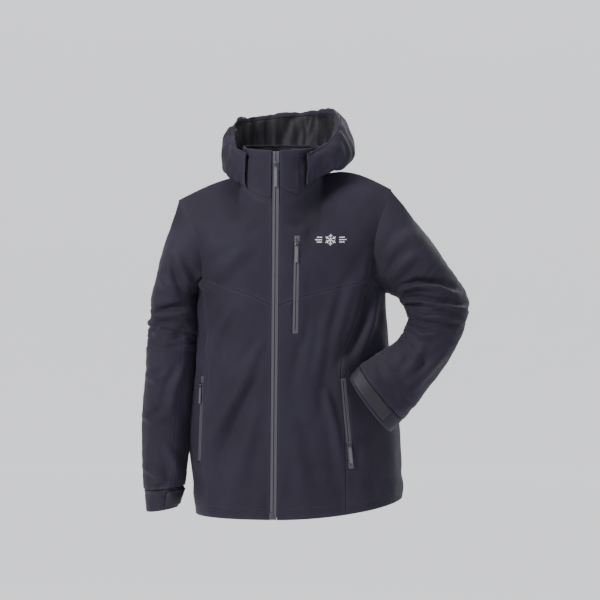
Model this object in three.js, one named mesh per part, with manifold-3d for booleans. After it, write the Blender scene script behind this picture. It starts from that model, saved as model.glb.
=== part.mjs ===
// A hooded, insulated ski jacket, standing in the shape it has when it is worn: the wearer's right arm
// hangs down and the left forearm is bent forward to the hand pocket.
// Millimetres, +Z up, the front faces -Y and the wearer's left is +X. The origin is the middle of the neck
// opening, at the height of the points where the shoulder seams meet the collar.
import * as THREE from 'three';
import { mergeVertices } from 'three/addons/utils/BufferGeometryUtils.js';
import Module from 'manifold-3d';

const wasm = await Module();
wasm.setup();

// ---------------------------------------------------------------- driving dimensions
const SIZE = 1; // scales the worn shape; cloth and hardware keep their thickness
const HEM_Z = -714 * SIZE; // front hem, below the origin
const COLLAR_TOP_Z = 72 * SIZE; // top of the closed collar at the zip
const NECK_FRONT_Z = -32 * SIZE; // collar seam at the zip
const ZIP_TOP_Y = -100 * SIZE; // the zip runs in one straight line from here ...
const ZIP_HEM_Y = -158 * SIZE; // ... to here at the hem
const ROUNDNESS = 2.35; // superellipse power of the body's sections
const GIRTH = 1; // widens the body and the sleeves without making them longer
const SHELL = 5; // shell cloth with its fill
const LINING = 1.2; // lining cloth
const BAG_DEPTH = SHELL + 2 * SIZE; // pocket bags' place behind the shell's face, clear of its curve
const BAG = 2.2; // both layers of a pocket bag
const LINING_DEPTH = BAG_DEPTH + BAG + 3.2; // lining's place behind the shell's face, clear of the pocket bags
const SEAM = 0.3; // each panel stops this far from the middle of a seam
const GAP = 0.35; // clearance between pieces that touch
const HOOD_RIM = { right: 136 * SIZE, left: 158 * SIZE }; // height of the lowered hood's rim on each side
const HOOD_BULGE = 62 * SIZE; // how far the lowered hood stands off the collar at the back ...
const HOOD_SIDE = { right: 26 * SIZE, left: 42 * SIZE }; // ... and beside it

// Half widths to the wearer's right and left, and depth of the back, at each level of the body. The
// hem rises towards the wearer's left, where the hand in the pocket lifts it.
const LEVELS = [
  { z: HEM_Z, right: 184, left: 262, back: 128, rise: 34 },
  { z: -560 * SIZE, right: 194, left: 257, back: 118, rise: 6 },
  { z: -400 * SIZE, right: 184, left: 240, back: 110, rise: 0 },
  { z: -235 * SIZE, right: 177, left: 226, back: 118, rise: 0 },
  { z: -125 * SIZE, right: 192, left: 226, back: 114, rise: 0 },
];
const TOP_SPAN = LEVELS.length; // a column of the body has this many spans from hem to top
const UNDERARM = 3 / TOP_SPAN;
const ARMHOLE_CORNER = 3.34 / TOP_SPAN;
const YOKE_AT_ZIP = 2.84 / TOP_SPAN;
const BACK_YOKE = 3.8 / TOP_SPAN;

// Angles round the body, in degrees from the zip towards the wearer's left, and their mirror images.
const NECK_ANGLE = 24;
const ARMHOLE_ANGLE = 62;
const PRINCESS_ANGLE = { left: 34, right: 49 };
const BACK_PRINCESS_ANGLE = 132;

// Rings of the sleeves: outer and inner point in the front view, depth of the middle, half depth.
const SLEEVES = {
  right: [
    { outer: [-258, -165], inner: [-183, -252], y: 0, depth: 74 },
    { outer: [-277, -258], inner: [-184, -284], y: -2, depth: 70 },
    { outer: [-285, -312], inner: [-185, -322], y: -5, depth: 68 },
    { outer: [-290, -366], inner: [-188, -364], y: -10, depth: 66 },
    { outer: [-297, -500], inner: [-199, -498], y: -24, depth: 61 },
    { outer: [-294, -660], inner: [-212, -652], y: -40, depth: 52 },
    { outer: [-289, -708], inner: [-218, -698], y: -46, depth: 50 },
  ],
  left: [
    { outer: [320, -104], inner: [247, -244], y: 2, depth: 74 },
    { outer: [374, -172], inner: [262, -262], y: -4, depth: 68 },
    { outer: [407, -266], inner: [276, -290], y: -22, depth: 64 },
    { outer: [384, -346], inner: [262, -324], y: -50, depth: 60 },
    { outer: [322, -440], inner: [212, -364], y: -106, depth: 56 },
    { outer: [276, -496], inner: [184, -384], y: -146, depth: 52 },
    { outer: [252, -522], inner: [163, -408], y: -162, depth: 52 },
  ],
};
const SLEEVE_SPANS = SLEEVES.right.length;
const ELBOW = { from: 2 / SLEEVE_SPANS, to: 4 / SLEEVE_SPANS };
const CUFF_FROM = 6 / SLEEVE_SPANS;

// Zip fasteners.
const TAPE = { half: 8, thick: 1, slit: 1.8 }; // half width, thickness and the slit between two tapes
const COIL = { width: 2.6, thick: 1.8 };
const SLIDER = { width: 9, length: 13, plate: 1.5, bridge: 1 };
const PIN = { radius: 0.8, bore: 1.15, barrel: 2, span: 3, stand: 2.4 };
const PULLER = { width: 6.5, thick: 2 };
const MAIN_PULLER_LENGTH = 48;
const POCKET_PULLER_LENGTH = 40;
const SLIDER_FROM_TOP = 30; // rest place of the front slider, below the collar's top

const NECK_POINT = new THREE.Vector3(88, 8, 10).multiplyScalar(SIZE); // collar end of the shoulder seam
const NECK_BACK = new THREE.Vector3(0, 80, 24).multiplyScalar(SIZE);
const SHOULDER_TIP = {
  left: new THREE.Vector3(238 * GIRTH, 6, -24).multiplyScalar(SIZE),
  right: new THREE.Vector3(-224 * GIRTH, 6, -42).multiplyScalar(SIZE),
};

const zipY = (z) => ZIP_TOP_Y + ((ZIP_HEM_Y - ZIP_TOP_Y) * (COLLAR_TOP_Z - z)) / (COLLAR_TOP_Z - HEM_Z);

// ---------------------------------------------------------------- materials
const MATERIALS = {
  cloth: { color: 0x2b2a33, roughness: 0.85, metalness: 0 },
  lining: { color: 0x121217, roughness: 0.6, metalness: 0 },
  tape: { color: 0x55555e, roughness: 0.5, metalness: 0 },
  gunmetal: { color: 0x4a4b52, roughness: 0.35, metalness: 0.9 },
  rubber: { color: 0x5c5d66, roughness: 0.55, metalness: 0 },
  plastic: { color: 0x17171a, roughness: 0.45, metalness: 0 },
  thread: { color: 0xe8e8ec, roughness: 0.6, metalness: 0 },
};

// ---------------------------------------------------------------- helpers
const V = (x, y, z) => new THREE.Vector3(x, y, z);
const rad = THREE.MathUtils.degToRad;
const lerp = THREE.MathUtils.lerp;
const clamp01 = (x) => THREE.MathUtils.clamp(x, 0, 1);
const smooth = (x) => THREE.MathUtils.smoothstep(x, 0, 1);
const steps = (a, b, n) => Array.from({ length: n + 1 }, (_, i) => lerp(a, b, i / n));
const curve = (points) => new THREE.CatmullRomCurve3(points, false, 'chordal');

const jacket = new THREE.Group();

function add(name, geometry, material) {
  const mesh = new THREE.Mesh(geometry, new THREE.MeshStandardMaterial(MATERIALS[material]));
  mesh.name = name;
  jacket.add(mesh);
}

function signedVolume(geometry) {
  const p = geometry.getAttribute('position');
  const index = geometry.index.array;
  const [a, b, c] = [V(), V(), V()];
  let sum = 0;
  for (let i = 0; i < index.length; i += 3) {
    a.fromBufferAttribute(p, index[i]);
    b.fromBufferAttribute(p, index[i + 1]);
    c.fromBufferAttribute(p, index[i + 2]);
    sum += a.dot(b.cross(c));
  }
  return sum;
}

function facingOut(geometry) {
  if (signedVolume(geometry) < 0) {
    const index = geometry.index.array;
    for (let i = 0; i < index.length; i += 3) {
      [index[i + 1], index[i + 2]] = [index[i + 2], index[i + 1]];
    }
  }
  return geometry;
}

// A closed sheet between two grids of points, grid[column][row]. A ring joins its last column to its first.
function slab(outer, inner, ring = false) {
  const columns = outer.length;
  const rows = outer[0].length;
  const at = (side, i, j) => side * columns * rows + (i % columns) * rows + j;
  const faces = [];
  const quad = (a, b, c, d) => faces.push(a, b, c, a, c, d);
  const spans = ring ? columns : columns - 1;
  const top = rows - 1;
  for (let i = 0; i < spans; i++) {
    for (let j = 0; j < top; j++) {
      quad(at(0, i, j), at(0, i + 1, j), at(0, i + 1, j + 1), at(0, i, j + 1));
      quad(at(1, i, j), at(1, i, j + 1), at(1, i + 1, j + 1), at(1, i + 1, j));
    }
    quad(at(0, i, 0), at(1, i, 0), at(1, i + 1, 0), at(0, i + 1, 0));
    quad(at(0, i, top), at(0, i + 1, top), at(1, i + 1, top), at(1, i, top));
  }
  if (!ring) {
    const end = columns - 1;
    for (let j = 0; j < top; j++) {
      quad(at(0, 0, j), at(0, 0, j + 1), at(1, 0, j + 1), at(1, 0, j));
      quad(at(0, end, j), at(1, end, j), at(1, end, j + 1), at(0, end, j + 1));
    }
  }
  const geometry = new THREE.BufferGeometry().setFromPoints([...outer.flat(), ...inner.flat()]);
  geometry.setIndex(faces);
  return facingOut(geometry);
}

function solidOf(geometry) {
  const bare = geometry.clone();
  bare.deleteAttribute('normal');
  bare.deleteAttribute('uv');
  const merged = mergeVertices(bare, 1e-4);
  return new wasm.Manifold(
    new wasm.Mesh({
      numProp: 3,
      vertProperties: merged.getAttribute('position').array,
      triVerts: new Uint32Array(merged.index.array),
    }),
  );
}

function geometryOf(solid) {
  const mesh = solid.getMesh();
  const geometry = new THREE.BufferGeometry();
  geometry.setAttribute('position', new THREE.BufferAttribute(new Float32Array(mesh.vertProperties), 3));
  geometry.setIndex(new THREE.BufferAttribute(new Uint32Array(mesh.triVerts), 1));
  return geometry;
}

const joined = (...parts) => geometryOf(parts.map(solidOf).reduce((a, b) => a.add(b)));
const cutBy = (body, tools) => geometryOf(tools.map(solidOf).reduce((a, b) => a.subtract(b), solidOf(body)));
const box = (w, d, h, x = 0, y = 0, z = 0) => new THREE.BoxGeometry(w, d, h).translate(x, y, z);

// Puts points of a face at a depth behind it; face(u, v) gives {point, normal}.
function grid(face, us, vs, depth) {
  return us.map((u) =>
    vs.map((v) => {
      const { point, normal } = face(u, v);
      const behind = typeof depth === 'function' ? depth(u, v) : depth;
      return point.clone().addScaledVector(normal, -behind);
    }),
  );
}

function layer(face, us, vs, front, back, ring = false) {
  return slab(grid(face, us, vs, front), grid(face, us, vs, back), ring);
}

// ---------------------------------------------------------------- the body's outer face
const sideOf = (angle) => (((angle % 360) + 360) % 360 <= 180 ? 'left' : 'right');
const awayFromFront = (angle) => {
  const a = ((angle % 360) + 360) % 360;
  return a <= 180 ? a : 360 - a;
};

function sectionPoint(level, angle) {
  const side = sideOf(angle);
  const a = rad(awayFromFront(angle));
  const s = Math.sin(a);
  const c = Math.cos(a);
  const k = (s ** ROUNDNESS + Math.abs(c) ** ROUNDNESS) ** (-1 / ROUNDNESS);
  const width = level[side] * SIZE * GIRTH * (side === 'left' ? 1 : -1);
  const depth = c > 0 ? zipY(level.z) : -level.back * SIZE;
  const rise = side === 'left' ? level.rise * s * s : 0;
  return V(width * s * k, depth * c * k, level.z + rise);
}

// The top edge of the body: collar seam, then shoulder seam, then the shoulder's tip.
function topPoint(angle) {
  const side = sideOf(angle);
  const sign = side === 'left' ? 1 : -1;
  const around = awayFromFront(angle);
  const front = around <= 90;
  const away = front ? around : 180 - around;
  const corner = V(sign * NECK_POINT.x, NECK_POINT.y, NECK_POINT.z);
  if (away > NECK_ANGLE) {
    const along = clamp01((away - NECK_ANGLE) / (ARMHOLE_ANGLE - NECK_ANGLE));
    const point = corner.lerp(SHOULDER_TIP[side], along);
    point.z += 7 * Math.sin(Math.PI * along);
    return point;
  }
  const middle = front ? V(0, zipY(NECK_FRONT_Z), NECK_FRONT_Z) : NECK_BACK;
  const turn = rad((90 * away) / NECK_ANGLE);
  return V(
    corner.x * Math.sin(turn),
    lerp(corner.y, middle.y, Math.cos(turn)),
    lerp(corner.z, middle.z, Math.cos(turn) ** 1.4),
  );
}

const columns = new Map();
function bodyPoint(angle, t) {
  const key = ((angle % 360) + 360) % 360;
  if (!columns.has(key)) {
    columns.set(key, curve([...LEVELS.map((level) => sectionPoint(level, key)), topPoint(key)]));
  }
  return columns.get(key).getPoint(clamp01(t));
}

// Outward direction, turned upright along the shoulder and neck edge so that the panels meet in a mitre.
function bodyNormal(angle, t, mitred = true) {
  const up = bodyPoint(angle, Math.min(1, t + 0.01)).sub(bodyPoint(angle, Math.max(0, t - 0.01)));
  const round = bodyPoint(angle + 0.5, t).sub(bodyPoint(angle - 0.5, t));
  const normal = round.cross(up).normalize();
  const upright = mitred ? smooth((t - 0.88) / 0.12) : 0;
  return normal.lerp(V(0, 0, 1), upright).normalize();
}

// The angle at which a level of the body is this far to the side of the zip.
function angleAt(x, t) {
  let [low, high] = [0, 80];
  for (let i = 0; i < 24; i++) {
    const middle = (low + high) / 2;
    if (Math.abs(bodyPoint(Math.sign(x) * middle, t).x) < Math.abs(x)) low = middle;
    else high = middle;
  }
  return (Math.sign(x) * (low + high)) / 2;
}

const SIGN = { right: -1, left: 1 };
const princess = (side, t) => {
  const rise = smooth((t - 0.4) / (ARMHOLE_CORNER - 0.4));
  return lerp(PRINCESS_ANGLE[side], ARMHOLE_ANGLE, rise);
};
const backPrincess = (t) => {
  const rise = smooth((t - 0.3) / (ARMHOLE_CORNER - 0.3));
  return lerp(BACK_PRINCESS_ANGLE, 180 - ARMHOLE_ANGLE, rise);
};
const yokeSeam = (away) => lerp(YOKE_AT_ZIP, ARMHOLE_CORNER, clamp01(away / ARMHOLE_ANGLE) ** 0.9);
const underarm = (away) => {
  const across = (away - ARMHOLE_ANGLE) / (180 - 2 * ARMHOLE_ANGLE);
  return ARMHOLE_CORNER - (ARMHOLE_CORNER - UNDERARM) * Math.sin(Math.PI * clamp01(across));
};

// A panel of the body. Its sides are angles that depend on t, its ends are values of t that depend on the
// angle. It stops short of each edge by the seam's gap.
function bodyPanel(panel) {
  const { from, to, low, high, front = 0, back = SHELL, across = 8, along = 8, seam = SEAM } = panel;
  const angleOf = (u, t) => {
    const [a, b] = [from(t), to(t)];
    const inset = seam / Math.max(1, bodyPoint(a, t).distanceTo(bodyPoint(b, t)));
    return lerp(a, b, lerp(inset, 1 - inset, u));
  };
  const endOf = (u, end) => {
    let t = 0.5;
    for (let i = 0; i < 6; i++) t = end(Math.abs(angleOf(u, t)));
    return t;
  };
  const face = (u, v) => {
    const [l, h] = [endOf(u, low), endOf(u, high)];
    const tall = Math.max(1, bodyPoint(angleOf(u, l), l).distanceTo(bodyPoint(angleOf(u, h), h)));
    const t = lerp(l, h, lerp(seam / tall, 1 - seam / tall, v));
    const angle = angleOf(u, t);
    return { point: bodyPoint(angle, t), normal: bodyNormal(angle, t, front === 0) };
  };
  const vs = panel.vs ?? steps(0, 1, along);
  return layer(face, steps(0, 1, across), vs, front, back);
}

// ---------------------------------------------------------------- pocket and front zips
const zipUp = V(0, ZIP_TOP_Y - ZIP_HEM_Y, COLLAR_TOP_Z - HEM_Z).normalize();
const zipFoot = V(0, ZIP_HEM_Y, HEM_Z);
const zipLength = zipFoot.distanceTo(V(0, ZIP_TOP_Y, COLLAR_TOP_Z));

// Places a shape made with x across, y into the jacket and z upwards.
function placement(foot, up, outward) {
  const z = up.clone();
  const y = outward.clone().addScaledVector(z, -outward.dot(z)).normalize().negate();
  return new THREE.Matrix4().makeBasis(y.clone().cross(z), y, z).setPosition(foot);
}
const mainZip = placement(zipFoot, zipUp, V(0, -1, 0));

// A straight pocket zip lies between two places on the body, just clear of the fullest point of the cloth.
function pocketLine(top, bottom) {
  const a = bodyPoint(...top);
  const b = bodyPoint(...bottom);
  const up = a.clone().sub(b).normalize();
  const middle = [(top[0] + bottom[0]) / 2, (top[1] + bottom[1]) / 2];
  const outward = bodyNormal(...middle);
  const sag = steps(0, 1, 8).map((s) => {
    const onBody = bodyPoint(lerp(bottom[0], top[0], s), lerp(bottom[1], top[1], s));
    return onBody.sub(b.clone().lerp(a, s)).dot(outward);
  });
  const foot = b.clone().addScaledVector(outward, lerp(Math.min(...sag), Math.max(...sag), 0.8));
  return { matrix: placement(foot, up, outward), length: a.distanceTo(b) };
}

const PIN_OUT = -GAP - SLIDER.plate - PIN.stand;

function sliderShape() {
  const { width, length, plate, bridge } = SLIDER;
  const behind = TAPE.thick + COIL.thick + GAP;
  const lug = PIN.span / 2 + GAP;
  const lugs = [-1, 1].map((side) => {
    const eye = new THREE.CylinderGeometry(2.2, 2.2, 1, 12).rotateZ(Math.PI / 2);
    return joined(
      eye.translate(side * (lug + 0.5), PIN_OUT, 0),
      box(1, PIN.stand, 4.2, side * (lug + 0.5), PIN_OUT + PIN.stand / 2 + 0.2, 0),
    );
  });
  const pin = new THREE.CylinderGeometry(PIN.radius, PIN.radius, 2 * lug + 1, 12).rotateZ(Math.PI / 2);
  return joined(
    box(width, plate, length, 0, -GAP - plate / 2, 0),
    box(width - 1, plate - 0.3, length - 1, 0, behind + plate / 2, 0),
    box(bridge, behind + 2 * GAP + 1, 5, 0, behind / 2, length / 2 - 3),
    pin.translate(0, PIN_OUT, 0),
    ...lugs,
  );
}

function pullerShape(length) {
  const barrel = new THREE.CylinderGeometry(PIN.barrel, PIN.barrel, PIN.span, 16).rotateZ(Math.PI / 2);
  const bore = new THREE.CylinderGeometry(PIN.bore, PIN.bore, 3 * PIN.span, 16).rotateZ(Math.PI / 2);
  const neck = box(PIN.span, 1.6, 5, 0, 0, -3.2);
  const strap = box(PULLER.width, PULLER.thick, length - 5, 0, 0, -5 - (length - 5) / 2);
  return cutBy(joined(barrel, neck, strap), [bore]);
}

function addZipPull(prefix, matrix, height, length) {
  const at = new THREE.Matrix4().makeTranslation(0, 0, height);
  const place = matrix.clone().multiply(at);
  add(`${prefix}_slider`, sliderShape().applyMatrix4(place), 'gunmetal');
  const pulled = pullerShape(length).translate(0, PIN_OUT, 0).applyMatrix4(place);
  add(`${prefix}_puller`, pulled, 'rubber');
}

for (const [side, sign] of Object.entries(SIGN)) {
  const width = TAPE.half - TAPE.slit / 2;
  const x = (sign * (TAPE.half + TAPE.slit / 2)) / 2;
  const tape = box(width, TAPE.thick, zipLength - 4, x, TAPE.thick / 2, zipLength / 2);
  add(`main_zip_${side}_tape`, tape.applyMatrix4(mainZip), 'tape');
  const coilX = sign * (TAPE.slit / 2 + 0.2 + COIL.width / 2);
  const coilY = TAPE.thick + 0.05 + COIL.thick / 2;
  const coil = box(COIL.width, COIL.thick, zipLength - 24, coilX, coilY, zipLength / 2 + 6);
  add(`main_zip_${side}_coil`, coil.applyMatrix4(mainZip), 'plastic');
}
const boxHeight = 15;
const insertion = joined(
  box(7, 1.2, boxHeight, -4.5, -GAP - 0.6, 2 + boxHeight / 2),
  box(TAPE.slit - 2 * GAP, 3.2, boxHeight - 2, 0, 1.2, 2 + boxHeight / 2),
  box(3, 1.2, boxHeight, -1.4, -GAP - 0.6, 2 + boxHeight / 2),
);
add('main_zip_insertion_box', insertion.applyMatrix4(mainZip), 'gunmetal');
addZipPull('main_zip', mainZip, zipLength - SLIDER_FROM_TOP, MAIN_PULLER_LENGTH);

const POCKETS = {
  chest: { top: [angleAt(46, 0.83), 0.83], bottom: [angleAt(44, 0.5), 0.5], slider: 4 },
  right_hand: { top: [-56, 0.385], bottom: [-55, 0.155], slider: 6 },
  left_hand: { top: [35, 0.385], bottom: [37, 0.135], slider: 128 },
};
const pocketSlots = [];
for (const [name, pocket] of Object.entries(POCKETS)) {
  const { matrix, length } = pocketLine(pocket.top, pocket.bottom);
  const slit = box(TAPE.slit, 20, length - 8, 0, 0, length / 2);
  const tape = cutBy(box(2 * TAPE.half, TAPE.thick, length, 0, TAPE.thick / 2, length / 2), [slit]);
  add(`${name}_pocket_zip_tape`, tape.applyMatrix4(matrix), 'tape');
  addZipPull(`${name}_pocket_zip`, matrix, length - 14 - pocket.slider, POCKET_PULLER_LENGTH);
  const slot = box(2 * (TAPE.half + GAP), 60, length + 2 * GAP, 0, 0, length / 2);
  pocketSlots.push(slot.applyMatrix4(matrix));
}

// ---------------------------------------------------------------- the body's panels
const zipEdge = (side) => (t) => angleAt(SIGN[side] * (TAPE.half + GAP), t);
const mirrored = (side, f) => (t) => SIGN[side] * f(t);
const all = (value) => () => value;
const ends = { hem: all(0.002), top: all(1) };

const panels = {};
for (const side of ['right', 'left']) {
  const front = zipEdge(side);
  const sideSeam = mirrored(side, (t) => princess(side, t));
  const armhole = all(SIGN[side] * ARMHOLE_ANGLE);
  const rear = mirrored(side, backPrincess);
  panels[`${side}_front_panel`] = { from: front, to: sideSeam, low: ends.hem, high: yokeSeam };
  panels[`${side}_front_yoke`] = { from: front, to: armhole, low: yokeSeam, high: ends.top };
  panels[`${side}_side_panel`] = { from: sideSeam, to: rear, low: ends.hem, high: underarm };
}
const backAngle = (t) => backPrincess(t);
const backOther = (t) => 360 - backPrincess(t);
const armholeBack = all(180 - ARMHOLE_ANGLE);
const armholeBackOther = all(180 + ARMHOLE_ANGLE);
const besideSidePanels = steps(0, (ARMHOLE_CORNER - 0.002) / (BACK_YOKE - 0.002), 8);
panels.back_panel = {
  from: backAngle,
  to: backOther,
  low: ends.hem,
  high: all(BACK_YOKE),
  across: 12,
  vs: [...besideSidePanels, 1],
};
panels.back_yoke = { from: armholeBack, to: armholeBackOther, low: all(BACK_YOKE), high: ends.top, across: 14 };

for (const [name, panel] of Object.entries(panels)) {
  const solid = bodyPanel(panel);
  const cut = name.includes('back') ? solid : cutBy(solid, pocketSlots);
  add(name, cut, 'cloth');
}

// ---------------------------------------------------------------- lining, wind flap and pocket bags
const liningFront = (u, v) => lerp(SHELL + 1.6, LINING_DEPTH, smooth(v / 0.12));
const liningBack = (u, v) => liningFront(u, v) + LINING;
const linings = {
  right_front_lining: { from: all(-ARMHOLE_ANGLE), to: (t) => angleAt(-26, t), high: all(0.92) },
  left_front_lining: { from: (t) => angleAt(26, t), to: all(ARMHOLE_ANGLE), high: all(0.92) },
  right_side_lining: { from: all(-180 + ARMHOLE_ANGLE), to: all(-ARMHOLE_ANGLE), high: all(UNDERARM) },
  left_side_lining: { from: all(ARMHOLE_ANGLE), to: all(180 - ARMHOLE_ANGLE), high: all(UNDERARM) },
  back_lining: { from: armholeBack, to: armholeBackOther, high: all(0.92), across: 10 },
};
for (const [name, lining] of Object.entries(linings)) {
  const shape = { low: all(0.012), seam: 0.8, ...lining, front: liningFront, back: liningBack };
  add(name, bodyPanel(shape), 'lining');
}
const flapFront = SHELL + 1.3;
const flap = {
  from: (t) => angleAt(-22, t),
  to: (t) => angleAt(12, t),
  low: all(0.008),
  high: all(0.83),
  front: flapFront,
  back: flapFront + 2,
  across: 4,
};
add('wind_flap', bodyPanel(flap), 'cloth');

// A pocket bag hangs behind its zip, between the shell and the lining.
const BAGS = {
  chest: { from: (t) => angleAt(34, t), to: (t) => angleAt(128, t), low: all(0.47), high: all(0.855) },
  right_hand: { from: all(-60.5), to: all(-32), low: all(0.07), high: all(0.4) },
  left_hand: { from: all(15), to: all(43), low: all(0.07), high: all(0.43) },
};
for (const [name, bag] of Object.entries(BAGS)) {
  const shape = bodyPanel({ ...bag, front: BAG_DEPTH, back: BAG_DEPTH + BAG });
  add(`${name}_pocket_bag`, shape, 'lining');
}

const emblem = { from: (t) => angleAt(80, t), to: (t) => angleAt(155, t), low: all(0.768), high: all(0.845) };
add('chest_emblem', bodyPanel({ ...emblem, front: -1.1, back: -GAP, across: 6, along: 4 }), 'thread');

// ---------------------------------------------------------------- collar
// theta runs round the neck from the zip; v from the collar seam to the collar's top.
function collarPoint(theta, v) {
  const around = awayFromFront(theta);
  const share = NECK_ANGLE / 90;
  const angle = around <= 90 ? around * share : 180 - (180 - around) * share;
  const side = sideOf(theta) === 'left' ? 1 : -1;
  const foot = topPoint(angle);
  const turn = rad(around);
  const depth = Math.cos(turn) > 0 ? ZIP_TOP_Y : 72 * SIZE;
  const rim = V(
    82 * SIZE * Math.sin(turn),
    lerp(2, depth, Math.abs(Math.cos(turn))),
    COLLAR_TOP_Z + 10 * smooth(around / 120),
  );
  const point = foot.lerp(rim, v);
  point.x *= side;
  return point;
}

function collarFace(theta, v) {
  const point = collarPoint(theta, v);
  const round = collarPoint(theta + 1, v).sub(collarPoint(theta - 1, v));
  const normal = round.cross(V(0, 0, 1)).normalize();
  return { point, normal };
}
const collarFoot = 0.9 / 90;
const zipTheta = 90 * (13 / 88) * 0.72;
const collarRows = steps(collarFoot, 1, 3);
add('right_collar', layer(collarFace, steps(-zipTheta, -179.8, 13), collarRows, 0, SHELL - 1), 'cloth');
add('left_collar', layer(collarFace, steps(zipTheta, 179.8, 13), collarRows, 0, SHELL - 1), 'cloth');
const collarInside = SHELL - 0.3;
const collarLining = layer(
  collarFace,
  steps(zipTheta, 360 - zipTheta, 24),
  steps(0.06, 0.98, 3),
  collarInside,
  collarInside + LINING,
);
add('collar_lining', collarLining, 'lining');

// ---------------------------------------------------------------- lowered hood
const HOOD_FROM = 43;
const HOOD_TO = 314;
// s runs from the neck seam up the inside to the rim, over it, down the outside and back to the neck.
function hoodPoint(theta, s) {
  const foot = collarPoint(theta, 0.1);
  const out = collarFace(theta, 0.1).normal;
  const back = Math.sin(rad(((theta - HOOD_FROM) / (HOOD_TO - HOOD_FROM)) * 180));
  const behind = smooth((Math.cos(rad(theta - 180)) - 0.62) / 0.38);
  const leftward = (1 + Math.sin(rad(theta))) / 2;
  const highest = lerp(HOOD_RIM.right, HOOD_RIM.left, leftward);
  const tall = lerp(COLLAR_TOP_Z - 6, highest, smooth(back / 0.8)) - foot.z;
  const beside = lerp(HOOD_SIDE.right, HOOD_SIDE.left, leftward);
  const wide = lerp(6, lerp(beside, HOOD_BULGE, behind), smooth(back / 0.6));
  const low = lerp(10, -75 * SIZE, behind);
  const profile = [
    [1.05, 5],
    [5, tall * 0.5],
    [8 + 0.12 * wide, tall * 0.88],
    [12 + 0.3 * wide, tall],
    [17 + 0.5 * wide, tall * 0.9],
    [16 + 0.95 * wide, tall * 0.42],
    [14 + wide, low + 22],
    [12 + 0.6 * wide, low],
    [9, 9],
  ].map(([r, z]) => foot.clone().addScaledVector(out, r).add(V(0, 0, z)));
  return curve(profile).getPoint(s);
}

function hoodFace(theta, s) {
  const up = hoodPoint(theta, Math.min(1, s + 0.01)).sub(hoodPoint(theta, Math.max(0, s - 0.01)));
  const round = hoodPoint(theta + 1, s).sub(hoodPoint(theta - 1, s));
  return { point: hoodPoint(theta, s), normal: up.cross(round).normalize() };
}
const RIM = { from: 2.3 / 8, to: 3.8 / 8 };
const seamShare = 0.002;
const hoodThick = 2.4;
const hoodPieces = {
  hood_lining: { thetas: [HOOD_FROM, HOOD_TO, 20], rows: [0, RIM.from - seamShare, 4], material: 'lining' },
  hood_rim: { thetas: [HOOD_FROM, HOOD_TO, 20], rows: [RIM.from + seamShare, RIM.to - seamShare, 3] },
  left_hood_panel: { thetas: [HOOD_FROM, 139.8, 7], rows: [RIM.to + seamShare, 1, 7] },
  centre_hood_panel: { thetas: [140.2, 219.8, 8], rows: [RIM.to + seamShare, 1, 7] },
  right_hood_panel: { thetas: [220.2, HOOD_TO, 7], rows: [RIM.to + seamShare, 1, 7] },
};
for (const [name, { thetas, rows, material }] of Object.entries(hoodPieces)) {
  const shape = layer(hoodFace, steps(...thetas), steps(...rows), 0, hoodThick);
  add(name, shape, material ?? 'cloth');
}

// ---------------------------------------------------------------- sleeves
function armholePoint(side, phi) {
  const sign = SIGN[side];
  if (phi <= 120) return bodyPoint(sign * ARMHOLE_ANGLE, lerp(1, ARMHOLE_CORNER, phi / 120));
  if (phi >= 240) return bodyPoint(sign * (180 - ARMHOLE_ANGLE), lerp(ARMHOLE_CORNER, 1, (phi - 240) / 120));
  const angle = lerp(ARMHOLE_ANGLE, 180 - ARMHOLE_ANGLE, (phi - 120) / 120);
  return bodyPoint(sign * angle, underarm(angle));
}

const SLEEVE_SEGMENTS = 20;
const PHIS = steps(0, 360, SLEEVE_SEGMENTS).slice(0, -1);

function sleeveRings(side) {
  const rings = SLEEVES[side].map(({ outer, inner, y, depth }) => {
    const a = V(outer[0], y, outer[1]).multiplyScalar(SIZE);
    const b = V(inner[0], y, inner[1]).multiplyScalar(SIZE);
    const middle = a.clone().lerp(b, 0.5);
    const half = a.sub(middle).multiplyScalar(GIRTH);
    return { middle, half, depth: depth * SIZE * GIRTH };
  });
  const loop = PHIS.map((phi) => armholePoint(side, phi));
  const centre = loop.reduce((sum, p) => sum.add(p), V(0, 0, 0)).multiplyScalar(1 / loop.length);
  return { rings, loop, centre };
}

function sleeveFace(side) {
  const { rings, centre } = sleeveRings(side);
  const axis = curve([centre, ...rings.map((ring) => ring.middle)]);
  const paths = new Map();
  const place = (phi, s) => {
    const key = ((phi % 360) + 360) % 360;
    if (!paths.has(key)) {
      const start = armholePoint(side, key).add(V(SIGN[side] * 0.5, 0, 0));
      const others = rings.map(({ middle, half, depth }) => {
        const point = middle.clone().addScaledVector(half, Math.cos(rad(key)));
        point.y -= depth * Math.sin(rad(key));
        return point;
      });
      paths.set(key, curve([start, ...others]));
    }
    return paths.get(key).getPoint(clamp01(s));
  };
  return (phi, s) => {
    const point = place(phi, s);
    const along = axis.getPoint(Math.min(1, s + 0.01)).sub(axis.getPoint(Math.max(0, s - 0.01))).normalize();
    if (s < 0.01) along.set(SIGN[side], 0, 0);
    const normal = point.clone().sub(axis.getPoint(clamp01(s)));
    normal.addScaledVector(along, -normal.dot(along)).normalize();
    return { point, normal };
  };
}

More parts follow.
